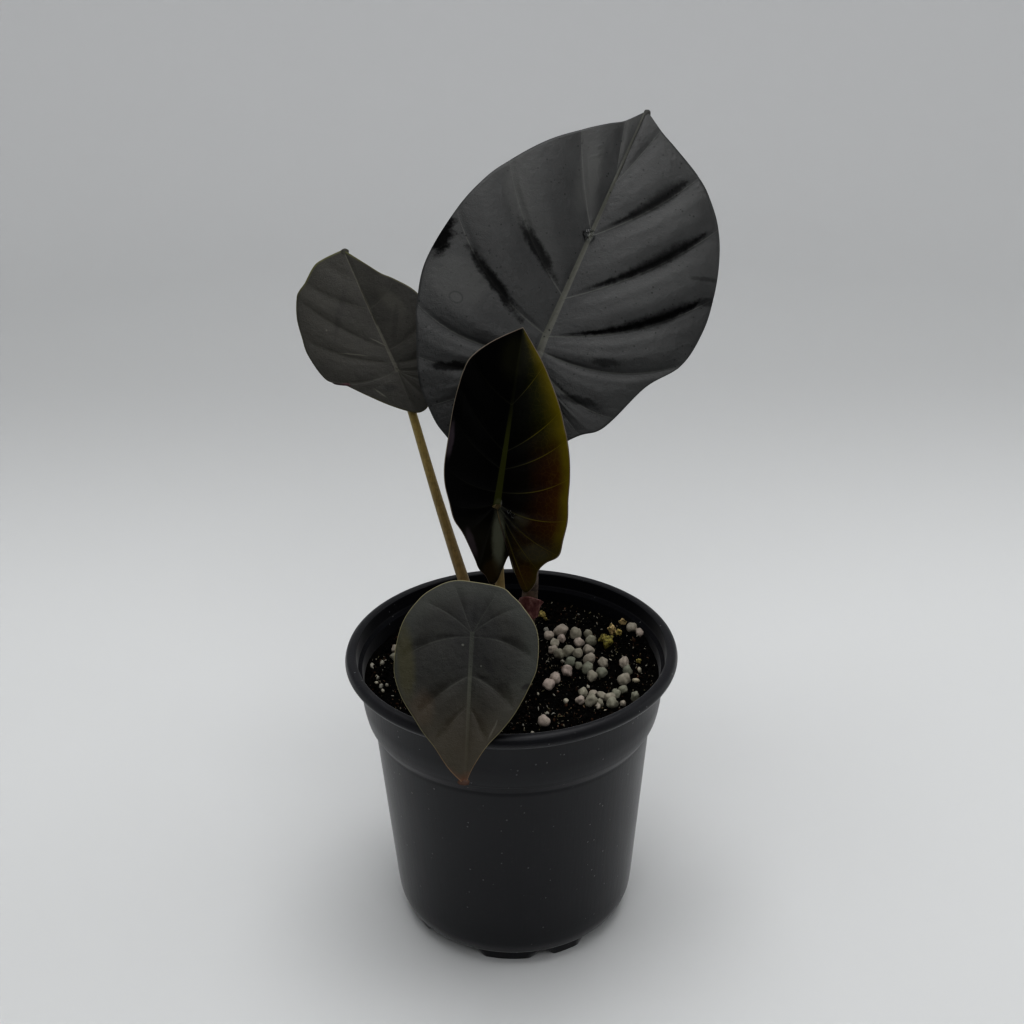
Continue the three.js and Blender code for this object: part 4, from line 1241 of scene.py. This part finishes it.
# Stem base and sheath
STEM_SECTION = [(0, 72), (6.5, 72), (8.3, 76), (8.8, 83), (8.8, 90.4), (8.1, 92.1), (6.2, 92.6), (0, 92.8)]


def make_stem():
    bm = bmesh.new()
    draw_line(bm, STEM_SECTION)
    bmesh.ops.subdivide_edges(bm, edges=bm.edges[:], cuts=7)
    spin_round(bm, 72)
    for vert in bm.verts:
        spot = vert.co / MM
        angle = math.atan2(spot.y, spot.x)
        ring = 0.22 * math.sin(2.4 * spot.z + 0.8 * math.sin(2 * angle))
        dent = 0.35 * noise.noise(spot * 0.3)
        away = Vector((spot.x, spot.y, 0))
        if away.length > 0.1:
            spot += away.normalized() * (ring + dent)
        spot.z += 0.3 * noise.noise(spot * 0.45) if spot.z > 91 else 0
        vert.co = (spot + STEM_CENTRE.to_3d()) * MM
    add_piece("stem_stump", bm, [stem_finish()], ["stem_base"])


SHEATH_BOTTOM = Vector((5.4, 4, 109))
SHEATH_TOP = Vector((6.45, 5.05, 117))
SHEATH_RADIUS = 3.1
SHEATH_FROM = -190
SHEATH_SWEEP = 210
SHEATH_POINT = 1.6


def make_sheath():
    bm = bmesh.new()
    made = bmesh.ops.create_grid(bm, x_segments=48, y_segments=20, size=0.5)
    for vert in made["verts"]:
        share = vert.co.x + 0.5
        up = vert.co.y + 0.5
        angle = math.radians(SHEATH_FROM + SHEATH_SWEEP * share)
        reach = 0.45 + 0.55 * math.sin(math.pi * share ** 0.8)
        wave = 0.14 * math.sin(17 * share + 3 * up) * up
        flare = SHEATH_RADIUS + 0.15 + SHEATH_POINT * up ** 2 * share ** 3 + wave
        centre = SHEATH_BOTTOM.lerp(SHEATH_TOP, up * reach)
        vert.co = (centre + Vector((math.cos(angle), math.sin(angle), 0)) * flare) * MM
    bmesh.ops.recalc_face_normals(bm, faces=bm.faces[:])
    if sum(face.normal.y for face in bm.faces) > 0:
        bmesh.ops.reverse_faces(bm, faces=bm.faces[:])
    piece = add_piece("sheath_scale", bm, [sheath_finish()], ["sheath"])
    shell = piece.modifiers.new("shell", "SOLIDIFY")
    shell.thickness = 0.4 * MM
    shell.offset = 1


# Water drops, placed on a leaf by (leaf, side, place among the rows, share of the way out, radius)
DROPS = [("big", -1, 12.85, 0.05, 2), ("front", 1, 8.8, 0.2, 0.9), ("front", 1, 8.4, 0.27, 0.7)]
DROP_LIFT = 0.25
DROP_FLATNESS = 0.62


def make_drops():
    bm = bmesh.new()
    for name, side, place, w, radius in DROPS:
        leaf = LEAVES[name]
        along_axis, across_axis, out = blade_axes(leaf)
        along, across, length = flat_point(leaf, side, place, w)
        height = blade_height(leaf, place, w, along, across, length, nearest_vein(leaf, side, place, w), 0.5)
        centre = leaf_spot(leaf, along, across, height + DROP_LIFT)
        made = bmesh.ops.create_uvsphere(bm, u_segments=32, v_segments=20, radius=radius * MM)
        flat = Matrix((across_axis, along_axis, out * DROP_FLATNESS)).transposed()
        for vert in made["verts"]:
            vert.co = flat @ vert.co + centre * MM
    bmesh.ops.recalc_face_normals(bm, faces=bm.faces[:])
    add_piece("water_drops", bm, [water_finish()])


# Stage and light: the floor in millimetres, the rest in metres
FLOOR_RADIUS = 750
FLOOR_SWEEP = 500
FLOOR_DROP = 0.1
WALL_TOP = 1900
LIGHT_TARGET = Vector((0, 0, 0.12))


def make_stage():
    """A round pale floor that sweeps up into a wall all round."""
    bm = bmesh.new()
    line = [(0, 0), (300, 0), (FLOOR_RADIUS, 0)]
    for step in range(1, 13):
        angle = math.radians(90 * step / 12)
        line.append((FLOOR_RADIUS + FLOOR_SWEEP * math.sin(angle), FLOOR_SWEEP * (1 - math.cos(angle))))
    line.append((FLOOR_RADIUS + FLOOR_SWEEP, WALL_TOP))
    draw_line(bm, [(radius, height - FLOOR_DROP) for radius, height in line])
    spin_round(bm, 96)
    floor = make_object("studio_floor", bm, [floor_finish()])


def softbox(name, place, size, power):
    """A rectangular lamp that faces the middle of the plant."""
    light = bpy.data.lights.new(name, "AREA")
    light.shape = "RECTANGLE"
    light.size, light.size_y = size
    light.energy = power
    lamp = bpy.data.objects.new(name, light)
    lamp.location = place
    lamp.rotation_euler = (LIGHT_TARGET - Vector(place)).to_track_quat("-Z", "Y").to_euler()
    scene.collection.objects.link(lamp)


def make_flag():
    """A black card in front of the plant that the camera doesn't see: the room there is dark."""
    bm = bmesh.new()
    bmesh.ops.create_grid(bm, x_segments=2, y_segments=2, size=0.5)
    for vert in bm.verts:
        vert.co = Vector((2 * vert.co.x, -0.7, 0.5 * (vert.co.y + 0.5)))
    finish = Finish("black_card", 0.9, 0.0)
    finish.colour(finish.mix(finish.noise(0.01), (0.002, 0.002, 0.002), (0.004, 0.004, 0.004)))
    card = make_object("black_card", bm, [finish.material], smooth=False)
    card.visible_camera = False


def make_light():
    softbox("overhead", (0.0, 0.1, 1.4), (1.2, 1.2), 10.4)
    softbox("front_top", (0.05, -1.0, 1.0), (1.2, 0.6), 3.6)
    softbox("right", (1.1, 0.15, 0.5), (0.6, 0.8), 1.2)
    world = bpy.data.worlds.new("studio")
    scene.world = world
    world.use_nodes = True
    background = world.node_tree.nodes["Background"]
    background.inputs["Color"].default_value = (0.92, 0.93, 0.93, 1)
    background.inputs["Strength"].default_value = 0.06
    scene.view_settings.view_transform = "Standard"
    scene.view_settings.look = "High Contrast"


make_pot()
make_soil()
make_crumbs()
make_pale_grains()
make_prills()
make_stem()
make_stalks()
make_sheath()
make_leaves()
make_tips()
make_drops()
make_stage()
make_flag()
make_light()
